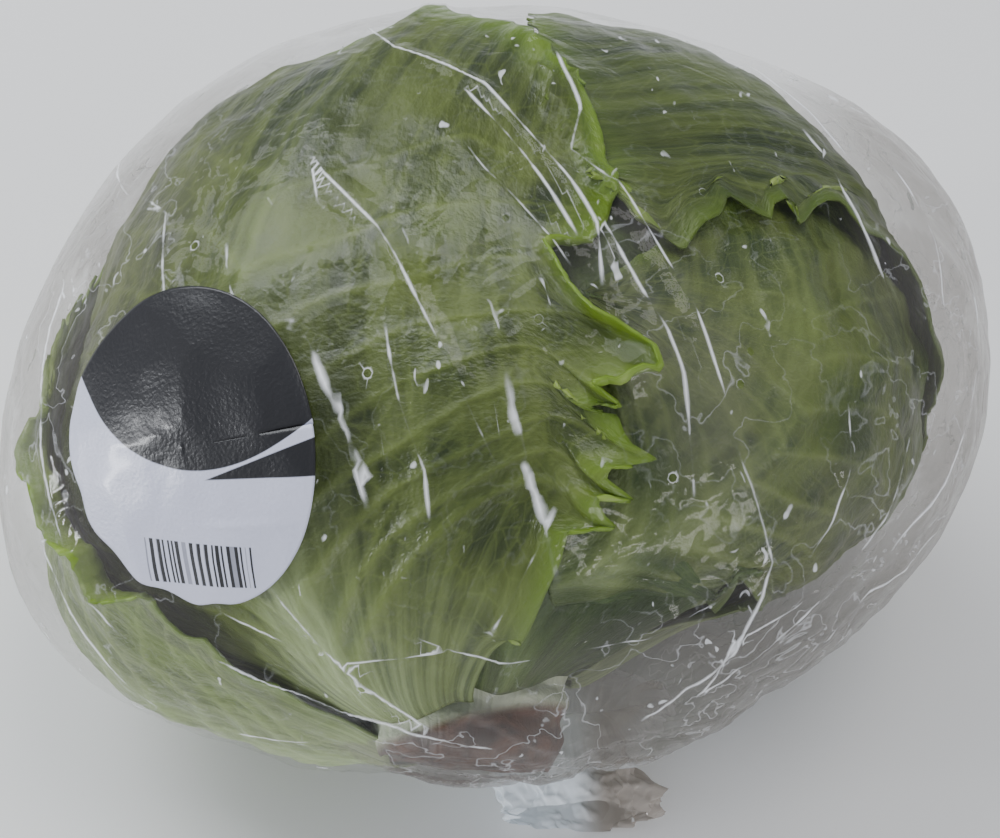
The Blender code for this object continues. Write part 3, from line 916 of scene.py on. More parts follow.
@dataclass
class Blade:
    """One leaf, laid over what is beneath it: its path over the head, its outline and its relief."""

    node: str
    path: tuple[tuple[float, float], ...]  # polar and azimuth of the midrib's base, middle and tip
    half_widths: tuple[float, float, float]  # at the base, the widest place and the tip
    finish: LeafFinish
    under_finish: LeafFinish
    sides: tuple[float, float] = (1.0, 1.0)  # the left and the right half width's share of the full one
    widest_at: float = 0.5
    rows: int = 90
    columns: int = 80
    tip_round: float = 0.16
    teeth: float = 7.0
    tooth_depth: float = 0.0035
    rib_height: float = 0.0018
    rib_width: float = 0.0075
    blister: float = 0.0011
    veins: VeinNet = VeinNet()
    vein_height: float = 0.45
    blister_scale: float = 85.0
    swell: float = 0.0016
    swell_scale: float = 26.0
    wave: float = 0.0020
    wave_scale: float = 60.0
    margin_width: float = 0.20
    lift: float = 0.0
    seed: float = 1.0
    guides: tuple[Guide, ...] = ()
    curls: tuple[Curl, ...] = ()
    thickness: float = 0.0006
    gap: float = 0.0003
    smoothing: int = 60
    draping: int = 10
    # patches of painted shade, where the leaf lies in shadow
    dark: tuple[Patch, ...] = ()
    pale: tuple[Patch, ...] = ()
    rim_share: float = 1.0
    fleshy: float = 0.9
    fleshy_length: float = 0.22
    rib_share: float = 1.0

    def middle(self, along: np.ndarray) -> np.ndarray:
        """The direction of the midrib.

        Args:
            along: The shares of its length.

        Returns:
            The direction at each.
        """
        first, second, third = (toward(*place) for place in self.path)
        along = along[..., None]
        point = (
            first * 2 * (along - 0.5) * (along - 1)
            - second * 4 * along * (along - 1)
            + third * 2 * along * (along - 0.5)
        )
        return unit(point)

    def half_width(self, along: np.ndarray) -> np.ndarray:
        """The half width, in metres.

        Args:
            along: The shares of the length.

        Returns:
            The half width at each.
        """
        base, widest, tip = self.half_widths
        rising = np.sin(math.pi / 2 * np.clip(along / self.widest_at, 0.0, 1.0)) ** 1.2
        falling = np.clip((along - self.widest_at) / (1 - self.widest_at), 0.0, None) ** 2
        return base + (widest - base) * rising - (widest - tip) * falling

    def directions(self, along: np.ndarray, across: np.ndarray) -> np.ndarray:
        """The direction of each place of the blade.

        Args:
            along: The share of the length at each place.
            across: The share of the half width, from -1 at the left to 1 at the right.

        Returns:
            The directions.
        """
        edge = np.abs(across) ** 3
        hollow = BASE_HOLLOW * across**2 * (1 - along) ** 6
        reach = along * (1 - self.tip_round * across**2) - hollow
        reach = reach + self.tooth_depth * 6 * tooth(self.teeth * 0.8 * across + self.seed) * along**8
        step = 1e-3
        middle = self.middle(reach)
        onward = unit(self.middle(reach + step) - self.middle(reach - step))
        sideways = np.cross(onward, middle)
        side = np.where(across < 0, self.sides[0], self.sides[1])
        toothed = self.tooth_depth * tooth(self.teeth * along + self.seed) * edge * np.clip(along * 3, 0, 1)
        turn = (across * self.half_width(along) * side + np.sign(across) * toothed) / HEAD_CENTRE[2]
        turn = turn[..., None]
        return unit(np.cos(turn) * middle + np.sin(turn) * sideways)

    def guided(self, aims: np.ndarray, along: np.ndarray, across: np.ndarray, seen: BVHTree) -> np.ndarray:
        """Moves the margins to where the photograph shows them.

        Args:
            aims: The directions of the blade's grid.
            along: The share of the length at each place.
            across: The share of the width at each place.
            seen: The head's surface.

        Returns:
            The directions, moved.
        """
        for guide in self.guides:
            line = np.array([PICTURE.aim(seen, place) for place in guide.places])
            run = np.concatenate([[0.0], np.cumsum(np.linalg.norm(np.diff(line, axis=0), axis=1))])
            share = (along[:, 0] - guide.along[0]) / (guide.along[1] - guide.along[0])
            inside = np.clip(share, 0.0, 1.0) * run[-1]
            target = np.stack([np.interp(inside, run, line[:, i]) for i in range(3)], -1)
            margin = aims[:, -1 if guide.side is Side.RIGHT else 0]
            fading = eased(1 - np.maximum(-share, share - 1) * 8)[:, None]
            move = (target - margin) * fading
            follow = eased((across * guide.side.value - (1 - guide.spread)) / guide.spread)[..., None]
            aims = unit(aims + move[:, None, :] * follow**1.3)
        return aims

    @staticmethod
    def patches(patches: tuple[Patch, ...], places: np.ndarray, seen: BVHTree) -> np.ndarray:
        """How strongly each place belongs to a patch.

        Args:
            patches: The patches.
            places: The places.
            seen: The head's surface, which the patches' pixels are read on.

        Returns:
            A share from 0 to 1 for each place.
        """
        strongest = np.zeros(places.shape[:-1])
        flat = unit(places - HEAD_CENTRE) * HEAD_REACH
        for patch in patches:
            middle = PICTURE.aim(seen, patch.place) * HEAD_REACH
            distance = np.linalg.norm(flat - middle, axis=-1)
            ragged = 1 + 0.35 * grain(places, 90.0, 2, patch.size)
            share = patch.share * np.exp(-((distance * ragged / patch.size) ** 2))
            strongest = np.maximum(strongest, share)
        return strongest

    def body(self, aims: np.ndarray) -> np.ndarray:
        """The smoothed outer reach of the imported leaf, carried on past its coarse outline.

        Args:
            aims: The directions of the blade's grid.

        Returns:
            The reach in each direction.
        """
        reach = cast(node_tree(self.node), aims, np.nan)
        for row in reach:
            known = np.flatnonzero(~np.isnan(row))
            if len(known):
                row[:] = np.interp(np.arange(len(row)), known, row[known])
        known = np.flatnonzero(~np.isnan(reach[:, 0]))
        nearest = known[np.abs(np.arange(len(reach))[:, None] - known).argmin(axis=1)]
        return smoothed(reach[nearest], self.smoothing)

    def veined(self, along: np.ndarray, across: np.ndarray) -> tuple[np.ndarray, np.ndarray]:
        """How the veins run over the blade.

        Args:
            along: The share of the length at each place.
            across: The share of the width at each place.

        Returns:
            How strong the nearest vein is at each place, and how wide it is, in metres.
        """
        length = self.veins.length
        places, widths = self.veins.lines(self.seed)
        metres = np.stack([places[:, 0] * length, places[:, 1] * self.half_width(places[:, 0])], -1)
        known = KDTree(len(metres))
        for i, (x, y) in enumerate(metres.tolist()):
            known.insert((x, y, 0.0), i)
        known.balance()
        flat = np.stack([along * length, across * self.half_width(along)], -1).reshape(-1, 2)
        found = [known.find((x, y, 0.0)) for x, y in flat.tolist()]
        distance = np.array([hit[2] for hit in found])
        width = widths[[hit[1] for hit in found]]
        strength = np.exp(-((distance / width) ** 2))
        return strength.reshape(along.shape), width.reshape(along.shape)

    def relief(
        self, along: np.ndarray, places: np.ndarray, rib: np.ndarray, margin: np.ndarray
    ) -> np.ndarray:
        """The midrib, the puckers, the swells and the waves of the margin.

        Args:
            along: The share of the length at each place.
            places: The places, in metres.
            rib: How near each is to the midrib, from 0 to 1.
            margin: How near each is to the margin, from 0 to 1.

        Returns:
            How much each place is raised, in metres.
        """
        puckers = grain(places, self.blister_scale, 3, self.seed) * self.blister
        puckers = puckers * (0.35 + 0.65 * along) * (1 - 0.6 * rib)
        broad = grain(places, self.swell_scale, 2, self.seed + 5) * self.swell
        waves = grain(places, self.wave_scale, 1, self.seed + 9) * self.wave * margin
        lifted = self.lift * margin * (0.6 + 0.4 * ripple(along * self.teeth * 3.2, self.seed))
        return rib * self.rib_height * 0.9 + puckers + broad + waves + lifted

    def rolled(self, points: np.ndarray, aims: np.ndarray, along: np.ndarray) -> np.ndarray:
        """Rolls the margins outwards where the leaf has curls.

        Args:
            points: The blade's places.
            aims: Their directions.
            along: The share of the length at each.

        Returns:
            The places, rolled.
        """
        for curl in self.curls:
            grid = points if curl.side is Side.RIGHT else points[:, ::-1]
            outwards = aims if curl.side is Side.RIGHT else aims[:, ::-1]
            middle, half = sum(curl.along) / 2, (curl.along[1] - curl.along[0]) / 2
            for i, row in enumerate(grid):
                window = eased((1 - abs(along[i, 0] - middle) / half) * 2.5)
                width = curl.width * float(window)
                steps = np.linalg.norm(np.diff(row, axis=0), axis=1)
                left = np.concatenate([np.cumsum(steps[::-1])[::-1], [0.0]])
                rolled = np.flatnonzero(left < width)
                if width < 1e-4 or len(rolled) < 2 or rolled[0] < 2:
                    continue
                start = rolled[0]
                onward = unit(row[start] - row[start - 2])
                normal = outwards[i, start]
                bend = curl.turn / width
                arc = (width - left[rolled]) * bend
                grid[i, rolled] = (
                    row[start]
                    + onward * (np.sin(arc) / bend)[:, None]
                    + normal * ((1 - np.cos(arc)) / bend)[:, None]
                )
        return points

    def build(self, pile: Pile, seen: BVHTree) -> bpy.types.Object:
        """Lays the leaf on the pile.

        Args:
            pile: What lies beneath.
            seen: The head's surface, which the photograph's places are read on.

        Returns:
            The finished leaf.
        """
        along, across = np.meshgrid(
            np.linspace(0, 1, self.rows), np.linspace(-1, 1, self.columns), indexing="ij"
        )
        aims = self.guided(self.directions(along, across), along, across, seen)
        body = self.body(aims)
        places = HEAD_CENTRE + aims * body[..., None]
        strength, width = self.veined(along, across)
        fading = (1 - along) ** 1.3
        offset = across * self.half_width(along) / (self.rib_width * (0.30 + 0.75 * fading))
        rib = np.exp(-(offset**2)) * np.clip(0.15 + fading, 0, 1)
        inside = 1 - np.maximum(np.abs(across), along**3)
        margin = eased(1 - inside / self.margin_width)
        relief = strength * width * self.vein_height + self.relief(along, places, rib, margin)
        beneath = pile.reach(aims) + self.gap + self.thickness
        lifted = beneath
        for _ in range(self.draping):
            lifted = np.maximum(smoothed(lifted, 1), beneath)
        reach = np.maximum(body + relief, lifted)
        points = self.rolled(HEAD_CENTRE + aims * reach[..., None], aims, along)
        pile.add(points)
        made = laid_grid("fine_" + self.node, points)
        set_values(made, "vein", np.clip(strength * (0.35 + width * 420), 0, 1) * 0.8)
        fleshy = eased(1 - along / self.fleshy_length) * self.fleshy
        fleshy = fleshy * (0.75 + 0.5 * grain(places, 160.0, 2, 3.0))
        ribbed = rib * 1.15 * fading**0.6 * self.rib_share
        set_values(made, "rib", np.clip(np.maximum(ribbed, fleshy), 0, 1))
        set_values(made, "rim", margin**2 * self.rim_share * np.clip(along * 4, 0, 1))
        # painted shade where the dark patches lie
        set_values(made, "dark", self.patches(self.dark, places, seen))
        set_values(made, "pale", self.patches(self.pale, places, seen))
        made.data.materials.append(self.finish.material())
        made.data.materials.append(self.under_finish.material())
        thicken(made, self.thickness, 1)
        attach(made, "root")
        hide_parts(self.node)
        return made


@dataclass
class Heart:
    """The dense ball of folded leaves that the outer leaves lie on."""

    finish: LeafFinish
    rows: int = 110
    columns: int = 200
    fold_depth: float = 0.0012
    folds: float = 70.0
    sink: float = 0.0006
    pole: float = 1e-4
    missing: float = 0.06

    def build(self, pile: Pile, seen: BVHTree) -> bpy.types.Object:
        """Makes the heart and puts it in the pile.

        Args:
            pile: What the leaves are laid on.
            seen: The head's surface, which the photograph's places are read on.

        Returns:
            The finished heart.
        """
        polar, azimuth = np.meshgrid(
            np.linspace(self.pole, math.pi - self.pole, self.rows),
            np.linspace(0, 2 * math.pi, self.columns + 1),
            indexing="ij",
        )
        azimuth[:, -1] = 0.0
        side = np.cos(azimuth)[..., None] * FACE + np.sin(azimuth)[..., None] * LEFT_SIDE
        aims = np.cos(polar)[..., None] * STEM_AIM + np.sin(polar)[..., None] * side
        reach = cast(node_tree("heart"), aims, self.missing)
        places = HEAD_CENTRE + aims * reach[..., None]
        reach = reach - self.sink + grain(places, self.folds, 3, 2.0) * self.fold_depth * np.sin(polar)
        reach[0] = reach[0].mean()
        reach[-1] = reach[-1].mean()
        reach[:, -1] = reach[:, 0]
        points = HEAD_CENTRE + aims * reach[..., None]
        pile.add(points[:, :-1], wraps=True)
        made = laid_grid("folded_heart", points)
        # Painted shade on the heart where it lies in the shadow of the outer leaves
        set_values(made, "dark", Blade.patches(HEART_PAINTED_SHADE, points, seen))
        merge_points(made)
        made.data.materials.append(self.finish.material())
        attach(made, "root")
        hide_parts("heart")
        return made


@dataclass
class Stem:
    """The cut butt of the head, with the scars of its outer leaves and a browned face."""

    finish: StemFinish
    seat: float = 0.055
    flare: float = 0.0180
    radius: float = 0.0175
    length: float = 0.0215
    lean: float = math.radians(7)
    columns: int = 144
    bottom_rows: int = 11
    side_rows: int = 46
    face_rows: int = 34
    bottom: float = 0.0003
    shoulder: float = 0.0004
    bevel: float = 0.0016
    face_inset: float = 0.0019
    scar: float = 0.0007
    scar_rate: float = 900
    dish: float = 0.0012
    ring: float = 0.0003
    crack: float = 0.0004
    brown_edge: tuple[float, float, float] = (0.66, 0.24, 0.10)  # start, tilt and blur, of the length

    def build(self) -> bpy.types.Object:
        """Turns the stump, from its seat up the side and over the cut face.

        Returns:
            The finished stem.
        """
        height = np.concatenate([
            np.full(self.bottom_rows, self.bottom),
            np.linspace(self.bottom, self.length, self.side_rows),
            np.full(self.face_rows, self.length),
        ])
        face = self.bottom_rows + self.side_rows
        radius = np.interp(
            height,
            (0.0, 0.45 * self.length, 0.86 * self.length, self.length),
            (self.flare, self.radius + self.shoulder, self.radius, self.radius - self.bevel),
        )
        radius[:self.bottom_rows] = np.linspace(0.0, self.flare, self.bottom_rows + 1)[:-1]
        radius[face:] = np.linspace(self.radius - self.face_inset, 0.0, self.face_rows)
        height, radius = height[:, None], radius[:, None]
        turn = np.linspace(0, 2 * math.pi, self.columns + 1)
        turn[-1] = 0.0
        turn = turn[None, :]
        side = unit(np.cross(STEM_AIM, UP_WORLD))
        rise = np.cross(side, STEM_AIM)
        wobble = 1 + 0.03 * np.sin(3 * turn) + 0.02 * np.sin(5 * turn + 1)
        up_side = np.clip(height / self.length, 0, 1)
        on_face = (np.arange(len(height)) >= face - 1)[:, None]
        wavy = np.sin(height * self.scar_rate + 1.5 * np.sin(2 * turn))
        scars = self.scar * wavy * np.sin(math.pi * up_side) * ~on_face
        outwards = np.cos(turn)[..., None] * side + np.sin(turn)[..., None] * rise
        reach = np.where(on_face, radius * wobble, radius * wobble + scars)
        share = np.where(on_face, radius / self.radius, 0.0)
        dished = -self.dish * (1 - share**2) * on_face
        rings = self.ring * np.cos(share * 26) * on_face
        cracks = self.crack * ripple(7 * turn + 9 * share, 2.0) * share * on_face
        leaning = math.tan(self.lean) * reach * np.sin(turn) * up_side**3
        level = self.seat + height + leaning + dished + rings + cracks
        points = HEAD_CENTRE + STEM_AIM * level[..., None] + outwards * reach[..., None]
        made = laid_grid("cut_stem", points)
        start, tilt, blur = self.brown_edge
        browned = eased((up_side - start - tilt * np.cos(turn)) / blur)
        set_values(made, "cut", np.clip(on_face + browned, 0, 1))
        merge_points(made)
        made.data.materials.append(self.finish.material())
        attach(made, "root")
        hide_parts("stem")
        return made


@dataclass(frozen=True)
class Crease:
    """A sharp crease of the film, along a line of the photograph."""

    places: tuple[tuple[int, int], ...]  # pixels of the photograph
    height: float = 0.0012  # in metres
    width: float = 0.0030  # in metres
    shine: float = 0.8  # how far its glint spreads


CREASES = (
    Crease(((315, 158), (324, 173), (379, 228), (397, 257), (410, 283), (439, 341), (465, 398),
            (487, 445)), 0.0016),
    Crease(((370, 30), (395, 50), (484, 87), (539, 145), (570, 181), (596, 223), (601, 270)), 0.0018),
    Crease(((470, 95), (520, 150), (571, 225)), 0.0010),
    Crease(((605, 225), (640, 290), (665, 330), (682, 370), (688, 440), (692, 480)), 0.0016),
    Crease(((810, 140), (840, 190), (870, 250), (890, 310)), 0.0013),
    Crease(((285, 325), (310, 340), (335, 400), (365, 470)), 0.0018, 0.0055, 1.9),
    Crease(((388, 340), (400, 400), (425, 470), (428, 505)), 0.0013),
    Crease(((510, 395), (520, 450), (545, 525), (552, 560)), 0.0016, 0.0045, 2.2),
    Crease(((512, 400), (530, 470), (540, 520)), 0.0010, 0.0030, 1.2),
    Crease(((700, 690), (730, 640), (800, 600)), 0.0010, 0.0030, 0.6),
    Crease(((820, 640), (870, 590), (930, 540)), 0.0010, 0.0030, 0.6),
    Crease(((570, 650), (640, 640), (700, 610)), 0.0010, 0.0030, 0.6),
    Crease(((430, 640), (500, 660), (570, 650)), 0.0010, 0.0030, 0.5),
    Crease(((240, 620), (350, 660), (440, 650)), 0.0010, 0.0030, 0.5),
    Crease(((550, 520), (525, 570), (498, 620)), 0.0014),
    Crease(((165, 285), (170, 215), (135, 190)), 0.0012, 0.0040),
    Crease(((180, 640), (330, 700), (480, 745)), 0.0013),
    Crease(((255, 565), (330, 650), (420, 720)), 0.0014),
    Crease(((960, 250), (975, 340), (950, 460), (900, 540)), 0.0014),
    Crease(((910, 420), (880, 520), (800, 610), (700, 690)), 0.0015),
    Crease(((740, 460), (770, 560), (730, 650), (650, 710)), 0.0013),
    Crease(((60, 300), (45, 400), (60, 520), (110, 620)), 0.0012),
    Crease(((312, 160), (320, 205), (345, 225), (352, 260)), 0.0010, 0.0030, 0.7),
    Crease(((228, 256), (234, 300)), 0.0010, 0.0030, 0.7),
    Crease(((120, 165), (135, 205), (160, 215)), 0.0010, 0.0030, 0.7),
    Crease(((560, 60), (580, 110), (570, 150), (600, 170)), 0.0012, 0.0040, 0.9),
    Crease(((462, 140), (485, 170), (530, 215), (560, 250)), 0.0010, 0.0030, 0.7),
    Crease(((624, 190), (650, 235), (690, 300), (720, 380)), 0.0010, 0.0030, 0.6),
    Crease(((735, 60), (790, 100), (850, 165)), 0.0010, 0.0030, 0.7),
    Crease(((900, 180), (930, 240), (945, 330)), 0.0010, 0.0030, 0.7),
    Crease(((340, 400), (352, 450), (362, 490)), 0.0010, 0.0030, 1.2),
    Crease(((270, 318), (300, 322), (322, 335)), 0.0010, 0.0030, 1.3),
    Crease(((50, 560), (95, 640), (150, 700)), 0.0010, 0.0030, 0.7),
    Crease(((130, 700), (230, 730), (330, 740)), 0.0010, 0.0030, 0.7),
    Crease(((850, 420), (845, 480), (820, 540)), 0.0010, 0.0030, 0.5),
)

# The vent holes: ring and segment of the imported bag's, and pixels of those that the photograph shows
PACKED_HOLES = ((5, 8), (5, 13), (7, 10), (8, 5), (9, 14), (6, 30), (10, 32), (9, 24), (7, 19), (12, 11))
SEEN_HOLES = (
    (254, 177), (505, 219), (537, 320), (559, 442), (674, 480), (703, 192), (719, 280), (742, 384),
)
# The rows and columns of the grid's places round a hole's middle
HOLE_RING = ((-1, -1), (-1, 0), (-1, 1), (0, -1), (0, 1), (1, -1), (1, 0), (1, 1))


@dataclass
class FilmBag:
    """The clear bag: a skin over the head, pleated towards its neck, and a crumpled tail."""

    finish: FilmFinish
    columns: int = 460
    rows: int = 150
    tail_rows: int = 60
    last_angle: float = math.radians(162)
    clearance: float = 0.0005
    pole: float = 1e-4
    missing: float = 0.08
    inset: float = 0.0008
    free_smoothing: int = 25
    head_smoothing: int = 60
    draping: int = 30
    crease_step: float = 0.0005
    crease_share: float = 0.6
    crease_limit: float = 0.004
    fold_depth: float = 0.0030
    fold_scale: tuple[float, float, float] = (4.2, 4.2, 0.9)  # across, across and along
    fine_fold_depth: float = 0.0016
    fine_fold_scale: tuple[float, float, float] = (2.3, 2.3, 1.2)  # of the folds' scale
    crumple_depth: float = 0.0016
    crumple_scale: float = 48.0
    hole_radius: float = 0.0008
    hole_rim_glint: float = 0.7
    packed_rings: int = 19
    packed_segment: float = math.radians(10)
    neck_from: float = math.radians(142)
    neck_gathered: float = 0.55
    slack_from: float = 0.003
    slack_full: float = 0.013
    shaded_from: float = 0.0140
    shaded_full: float = 0.022
    tail_swell: float = 1.10
    tail_crumple: float = 0.36
    tail_fine_crumple: float = 0.14
    # The centre, the half width and the half height of each ring
    tail: tuple[tuple[tuple[float, float, float], float, float], ...] = (
        ((0.0125, -0.0415, 0.0115), 0.0135, 0.0100),
        ((0.0132, -0.0455, 0.0088), 0.0100, 0.0074),
        ((0.0142, -0.0495, 0.0080), 0.0096, 0.0068),
        ((0.0150, -0.0535, 0.0076), 0.0116, 0.0068),
        ((0.0155, -0.0575, 0.0072), 0.0136, 0.0068),
        ((0.0158, -0.0615, 0.0068), 0.0142, 0.0064),
        ((0.0160, -0.0645, 0.0064), 0.0128, 0.0054),
    )

    def aims(self) -> tuple[np.ndarray, np.ndarray, np.ndarray]:
        """The directions of the body's grid.

        Returns:
            The directions, the angle from the far pole, and the angle round it.
        """
        polar, azimuth = np.meshgrid(
            np.linspace(self.pole, self.last_angle, self.rows),
            np.linspace(0, 2 * math.pi, self.columns + 1)[:-1],
            indexing="ij",
        )
        side = np.cos(azimuth)[..., None] * GATHER_SIDE + np.sin(azimuth)[..., None] * GATHER_RISE
        aims = -np.cos(polar)[..., None] * GATHER_AIM + np.sin(polar)[..., None] * side
        return unit(aims), polar, azimuth

    def draped(self, aims: np.ndarray, pile: Pile) -> np.ndarray:
        """How far the slack film reaches, pushed out wherever the head presses on it.

        Args:
            aims: The directions of the body's grid.
            pile: The head.

        Returns:
            The reach in each direction.
        """
        packed = cast(node_tree("film_bag"), aims, self.missing)
        free = smoothed(packed, self.free_smoothing, wraps=True) - self.inset
        least = pile.reach(aims) + self.clearance
        reach = np.maximum(free, least)
        for _ in range(self.draping):
            reach = np.maximum(smoothed(reach, 1, wraps=True), least)
        return reach

    def creased(self, points: np.ndarray, aims: np.ndarray, tree: BVHTree) -> tuple[np.ndarray, ...]:
        """The sharp creases that the photograph shows.

        Args:
            points: The film's places.
            aims: Their directions.
            tree: The film's surface.

        Returns:
            How much each place is raised, how near it is to a crease, from 0 to 1, and how far to the
            one side or the other of it, in metres.
        """
        lines, heights, widths, shines, courses = [], [], [], [], []
        for crease in CREASES:
            line = np.array([PICTURE.aim(tree, place) for place in crease.places])
            line = HEAD_CENTRE + line * HEAD_REACH
            run = np.concatenate([[0.0], np.cumsum(np.linalg.norm(np.diff(line, axis=0), axis=1))])
            steps = np.linspace(0, run[-1], int(run[-1] / self.crease_step) + 2)
            lines.append(np.stack([np.interp(steps, run, line[:, i]) for i in range(3)], -1))
            taper = np.sin(math.pi * np.clip(steps / run[-1], 0.02, 0.98)) ** 0.5
            heights.append(crease.height * taper)
            widths.append(np.full(len(steps), crease.width))
            shines.append(np.full(len(steps), crease.shine))
            courses.append(unit(np.gradient(lines[-1], axis=0)))
        lines, heights, widths, shines, courses = (
            np.concatenate(parts) for parts in (lines, heights, widths, shines, courses)
        )
        lines = HEAD_CENTRE + unit(lines - HEAD_CENTRE) * HEAD_REACH
        known = KDTree(len(lines))
        for i, place in enumerate(lines.tolist()):
            known.insert(place, i)
        known.balance()
        places = (HEAD_CENTRE + aims * HEAD_REACH).reshape(-1, 3)
        found = [known.find(place) for place in places.tolist()]
        distance = np.array([hit[2] for hit in found])
        index = [hit[1] for hit in found]
        near = np.clip(1 - distance / widths[index], 0, 1)
        sideways = np.cross(courses[index], unit(lines[index] - HEAD_CENTRE))
        beside = np.einsum("ij,ij->i", sideways, places - lines[index]) / shines[index]
        shape = points.shape[:-1]
        raised = self.crease_share * (heights[index] * near).reshape(shape)
        return raised, near.reshape(shape), beside.reshape(shape)

    def pleats(self, polar: np.ndarray, azimuth: np.ndarray, places: np.ndarray) -> np.ndarray:
        """The folds that run to the neck, and the crumples of slack film.

        Args:
            polar: The angle of each place from the far pole.
            azimuth: The angle round it.
            places: The places, in metres.

        Returns:
            How much each place is raised, in metres.
        """
        near_neck = np.clip(polar / self.last_angle, 0, 1)
        turn = azimuth + 0.5 * ripple(2.5 * polar, 1.0)
        drawn = np.stack([np.cos(turn), np.sin(turn), polar], -1) * self.fold_scale
        ridges = 0.35 - np.abs(grain(drawn, 1.0, 3, 4.0))
        finer = 0.35 - np.abs(grain(drawn * self.fine_fold_scale, 1.0, 2, 8.0))
        folds = self.fold_depth * near_neck**5 * ridges + self.fine_fold_depth * near_neck**3 * finer
        crumple = (0.4 - np.abs(grain(places, self.crumple_scale, 3, 3.0))) * self.crumple_depth
        return folds + crumple * (0.30 + near_neck**2)

    def pierced(
        self, points: np.ndarray, shading: dict[str, np.ndarray], tree: BVHTree
    ) -> list[tuple[int, int]]:
        """Rounds the film's vent holes out of its grid.

        Args:
            points: The film's places, which are moved round each hole.
            shading: The values for the finish, which paint glints on the holes' rims.
            tree: The film's surface, on which the photograph's places are read.

        Returns:
            The row and column of each hole's middle, which is still to be taken out.
        """
        ring_angle = self.last_angle / self.packed_rings
        polars = [ring_angle * (ring + 1.5) for ring, segment in PACKED_HOLES]
        azimuths = [self.packed_segment * (segment + 0.5) for ring, segment in PACKED_HOLES]
        for place in SEEN_HOLES:
            aim = PICTURE.aim(tree, place)
            polars.append(math.acos(-aim @ GATHER_AIM))
            azimuths.append(math.atan2(aim @ GATHER_RISE, aim @ GATHER_SIDE) % (2 * math.pi))
        middles = []
        for polar, azimuth in zip(polars, azimuths):
            row = round(polar / self.last_angle * (self.rows - 1))
            column = min(max(round(azimuth / (2 * math.pi) * self.columns), 1), self.columns - 2)
            middle = points[row, column].copy()
            for i, j in HOLE_RING:
                outwards = unit(points[row + i, column + j] - middle)
                points[row + i, column + j] = middle + outwards * self.hole_radius
                # painted glint round the hole's rim
                shading["crease_side"][row + i, column + j] = 0.0
                shading["glint_strength"][row + i, column + j] = self.hole_rim_glint
            middles.append((row, column))
        return middles

    def cut_out(self, made: bpy.types.Object, middles: list[tuple[int, int]]) -> None:
        """Takes the middles of the holes out of the skin.

        Args:
            made: The skin.
            middles: The row and column of each.
        """
        bpy.ops.object.mode_set(mode="EDIT")
        bpy.ops.mesh.select_all(action="DESELECT")
        bpy.ops.object.mode_set(mode="OBJECT")
        for row, column in middles:
            made.data.vertices[row * (self.columns + 1) + column].select = True
        bpy.ops.object.mode_set(mode="EDIT")
        bpy.ops.mesh.delete(type="VERT")
        bpy.ops.object.mode_set(mode="OBJECT")

    def tail_rings(self, last: np.ndarray) -> np.ndarray:
        """The neck and the crumpled tail, on from the body.

        Args:
            last: The body's last ring.

        Returns:
            The places, ring by ring.
        """
        turn = np.linspace(0, 2 * math.pi, self.columns + 1)[:-1]
        number = np.linspace(-1, len(self.tail) - 1, self.tail_rows + 1)[1:]
        known = np.arange(len(self.tail))
        centres, widths, heights = zip(*self.tail)
        centre = np.stack([np.interp(number, known, part) for part in zip(*centres)], -1)
        width = np.interp(number, known, widths)
        height = np.interp(number, known, heights)
        rings = []
        for i, k in enumerate(number):
            share = float(np.clip((k + 1) / 3, 0.0, 1.0))
            side = unit(GATHER_SIDE * (1 - share) + ACROSS_WORLD * share)
            rise = unit(GATHER_RISE * (1 - share) + UP_WORLD * share)
            crumple = 1 + 0.10 * np.cos(5 * turn + k) + 0.05 * np.cos(9 * turn - 2 * k)
            level = np.full(len(turn), 0.45 * k)
            round_tail = np.stack([np.cos(turn) * 1.6, np.sin(turn) * 1.6, level], -1)
            crumple = crumple + self.tail_crumple * (0.30 - np.abs(grain(round_tail, 1.0, 3, 5.0)))
            crumple = crumple + self.tail_fine_crumple * (0.30 - np.abs(grain(round_tail, 2.6, 2, 9.0)))
            crumple = crumple * self.tail_swell
            ring = centre[i] + side * (np.cos(turn) * width[i] * crumple)[:, None]
            ring = ring + rise * (np.sin(turn) * height[i] * crumple)[:, None]
            rings.append(ring)
        rings = np.array(rings)
        start = eased((number + 1) / 1.6)[:, None, None]
        drift = np.linspace(0, 1, len(number))[:, None, None]
        onward = last[None] + (centre[0] - last.mean(axis=0)) * drift
        rings = onward * (1 - start) + rings * start
        rings[..., 2] = np.maximum(rings[..., 2], 0.0)
        return rings

